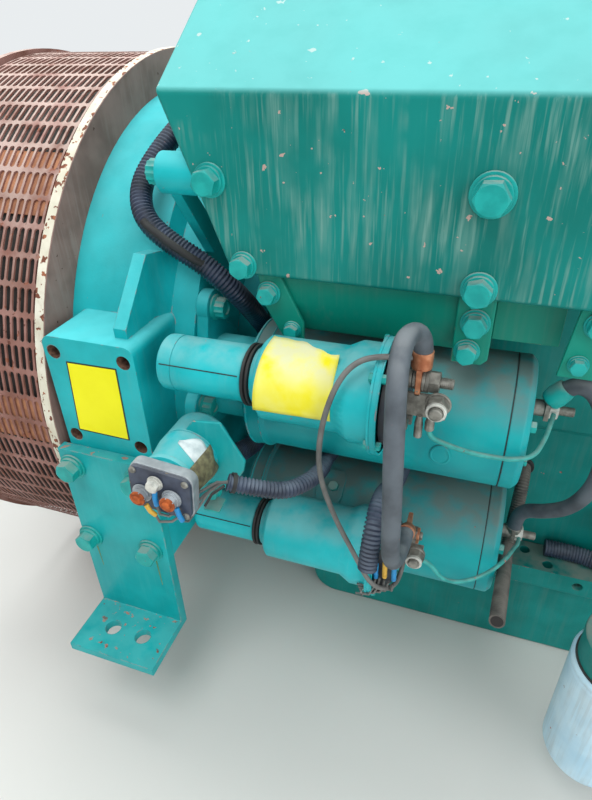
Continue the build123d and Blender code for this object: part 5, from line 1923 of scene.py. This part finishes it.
@dataclass
class Block:
    """Engine block section, pan and filter with their bolts and trims.

    Attributes:
        canister: Foot of the filter canister.
        seal_z: Foot of the canister's seal.
        rail_y: The pan rail's bolts, either side of the crank.
        rail_z: The pan rail's top.
        plug_x: The far side's core plugs, along the crank.
    """

    canister: Point = (668.0, -366.0, -360.0)
    seal_z: float = -181.0
    rail_y: float = 188.0
    rail_z: float = -237.0
    plug_x: Sequence[float] = (290.0, 450.0, 610.0)

    def build(self) -> None:
        """Make the block's pieces."""
        softened("engine_block", "engine_block_casting", 4.0, Teal.BLOCK)
        softened("pan_rail", "pan_rail_casting", 2.5, Teal.BLOCK)
        softened("oil_pan", "pressed_oil_pan", 8.0, Teal.BLOCK, 4)
        softened("filter_head", "filter_head_casting", 3.0, Teal.BLOCK)
        softened("cable_grommets", "rubber_cable_grommets", 1.5, Stock.RUBBER)
        can = Shape("spin_on_canister").lathe(self.canister, TOP, [
            (0, 30), (0.4, 40), (2.5, 46.5), (7, 51.6), (14, 54), (166, 54), (168, 54), (171, 52.6),
            (173, 54), (177, 54), (180, 51), (180, 20)], 72)
        settle(can.finish(smooth=50.0), Stock.CANISTER, "filter_canister")
        x, y, _ = self.canister
        seal = Shape("canister_seal").lathe((x, y, self.seal_z), TOP, [
            (0, 48.4), (0.4, 50), (3, 50), (3.4, 48.4)], 64)
        settle(seal.finish(), Stock.RUBBER)
        near, far = (290.0, 380.0, 470.0, 680.0, 740.0), range(290, 741, 90)
        rail = [(x, -self.rail_y, self.rail_z, 15.0, 7.0 * k) for k, x in enumerate(near)]
        rail += [(x, self.rail_y, self.rail_z, 15.0, 11.0 * k) for k, x in enumerate(far)]
        bolted("pan_rail_bolts", Head.HEX, Teal.HARDWARE, TOP, rail)
        plugs = Shape("far_side_core_plugs")
        for x in self.plug_x:
            plugs.lathe((x, 150, 40), FAR, [(3, 28), (5.2, 28), (5.6, 25.5), (4.6, 24), (4.6, 2)], 48)
        settle(plugs.finish(), Teal.BLOCK)


def set_camera() -> None:
    """Place the camera where the photograph was taken from."""
    data = bpy.data.cameras.new("photo_camera")
    data.lens = 27.0
    data.sensor_width = 36.0
    data.sensor_fit = "AUTO"
    camera = placed("photo_camera", data)
    # The camera's axes, and then its place in metres, as matched to the photograph
    right = (0.94292, 0.33197, -0.02660)
    up = (-0.16186, 0.52659, 0.83457)
    forward = (-0.29105, 0.78262, -0.55026)
    rows = [[right[i], up[i], -forward[i], p] for i, p in enumerate((0.7326, -0.8552, 0.4434))]
    camera.matrix_world = Matrix(rows + [[0, 0, 0, 1]])
    bpy.context.scene.camera = camera


@dataclass(frozen=True)
class Studio:
    """Plain pale floor and soft light.

    Attributes:
        floor_z: Height of the floor in metres, under the oil pan.
        reach: Half the floor's width in metres.
    """

    floor_z: float = -0.4275
    reach: float = 6.0

    def build(self) -> None:
        """Make the floor, lights and world."""
        bpy.context.scene.view_settings.view_transform = "Standard"
        mesh = bpy.data.meshes.new("studio_floor")
        s = self.reach
        corners = ((-s, -s), (s, -s), (s, s), (-s, s))
        mesh.from_pydata([(x, y, self.floor_z) for x, y in corners], [], [(0, 1, 2, 3)])
        floor = placed("studio_floor", mesh)
        # Matt painted board: pale and even, so that it holds the shadow and nothing shines
        paint = bpy.data.materials.new("matt_studio_board")
        paint.use_nodes = True
        shader = paint.node_tree.nodes["Principled BSDF"]
        shader.inputs["Base Color"].default_value = linear("D9D7D2")
        shader.inputs["Roughness"].default_value = 0.95
        floor.data.materials.append(paint)
        for name, place, aim, size, power in (
                ("key", (0.2, -1.6, 2.6), (0.55, -0.2, 0.0), 1.6, 38.0),
                ("fill", (2.6, -1.8, 1.0), (0.5, -0.2, 0.0), 2.0, 34.0),
                ("overhead", (0.6, 0.9, 2.6), (0.55, -0.1, 0.2), 2.4, 78.0),
                ("rim", (-1.6, 0.6, 1.9), (0.3, 0.0, 0.1), 1.4, 24.0)):
            lamp = bpy.data.lights.new(name, "AREA")
            lamp.size = size
            lamp.energy = power
            lamp.color = (0.95, 0.99, 1.0)
            light = placed(name, lamp)
            light.location = place
            light.rotation_euler = (Vector(aim) - Vector(place)).to_track_quat("-Z", "Y").to_euler()
        world = bpy.data.worlds.new("studio")
        bpy.context.scene.world = world
        world.use_nodes = True
        world.node_tree.nodes.clear()
        add = partial(add_node, world.node_tree)
        rays = add("ShaderNodeLightPath").outputs
        seen = add("ShaderNodeMath", {
            0: rays["Is Camera Ray"], 1: rays["Is Glossy Ray"]}, operation="MAXIMUM")
        seen = add("ShaderNodeMath", {0: seen, 1: rays["Is Transmission Ray"]}, operation="MAXIMUM")
        strength = add("ShaderNodeMapRange", {"Value": seen, "To Min": 0.54, "To Max": 0.92})
        sky = add("ShaderNodeBackground", {0: linear("F2F6F8"), 1: strength})
        add("ShaderNodeOutputWorld", {0: sky})


def main() -> None:
    """Build the pieces in order."""
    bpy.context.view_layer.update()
    set_camera()
    Studio().build()
    for cable in CABLES:
        cable.build()
    Guard().build()
    RingTrim().build()
    Housing().build()
    SideBox().build()
    Block().build()
    Starter("upper", UPPER_MOTOR, UPPER_SOLENOID, UPPER_SOLENOID_R, ((-275.0, 148.0), (-330.0, 45.0)),
            219.0, 156.0, 243.0, nose=9.0).build()
    Starter("lower", LOWER_MOTOR, (-345.3, -110.9), 41.5, ((-277.0, -79.0), (-207.0, -234.0)),
            188.0, 140.0, 227.0).build()
    loom_slit()
    starter_labels()
    Relay().build()
    Terminals().build()


if __name__ == "__main__":
    main()
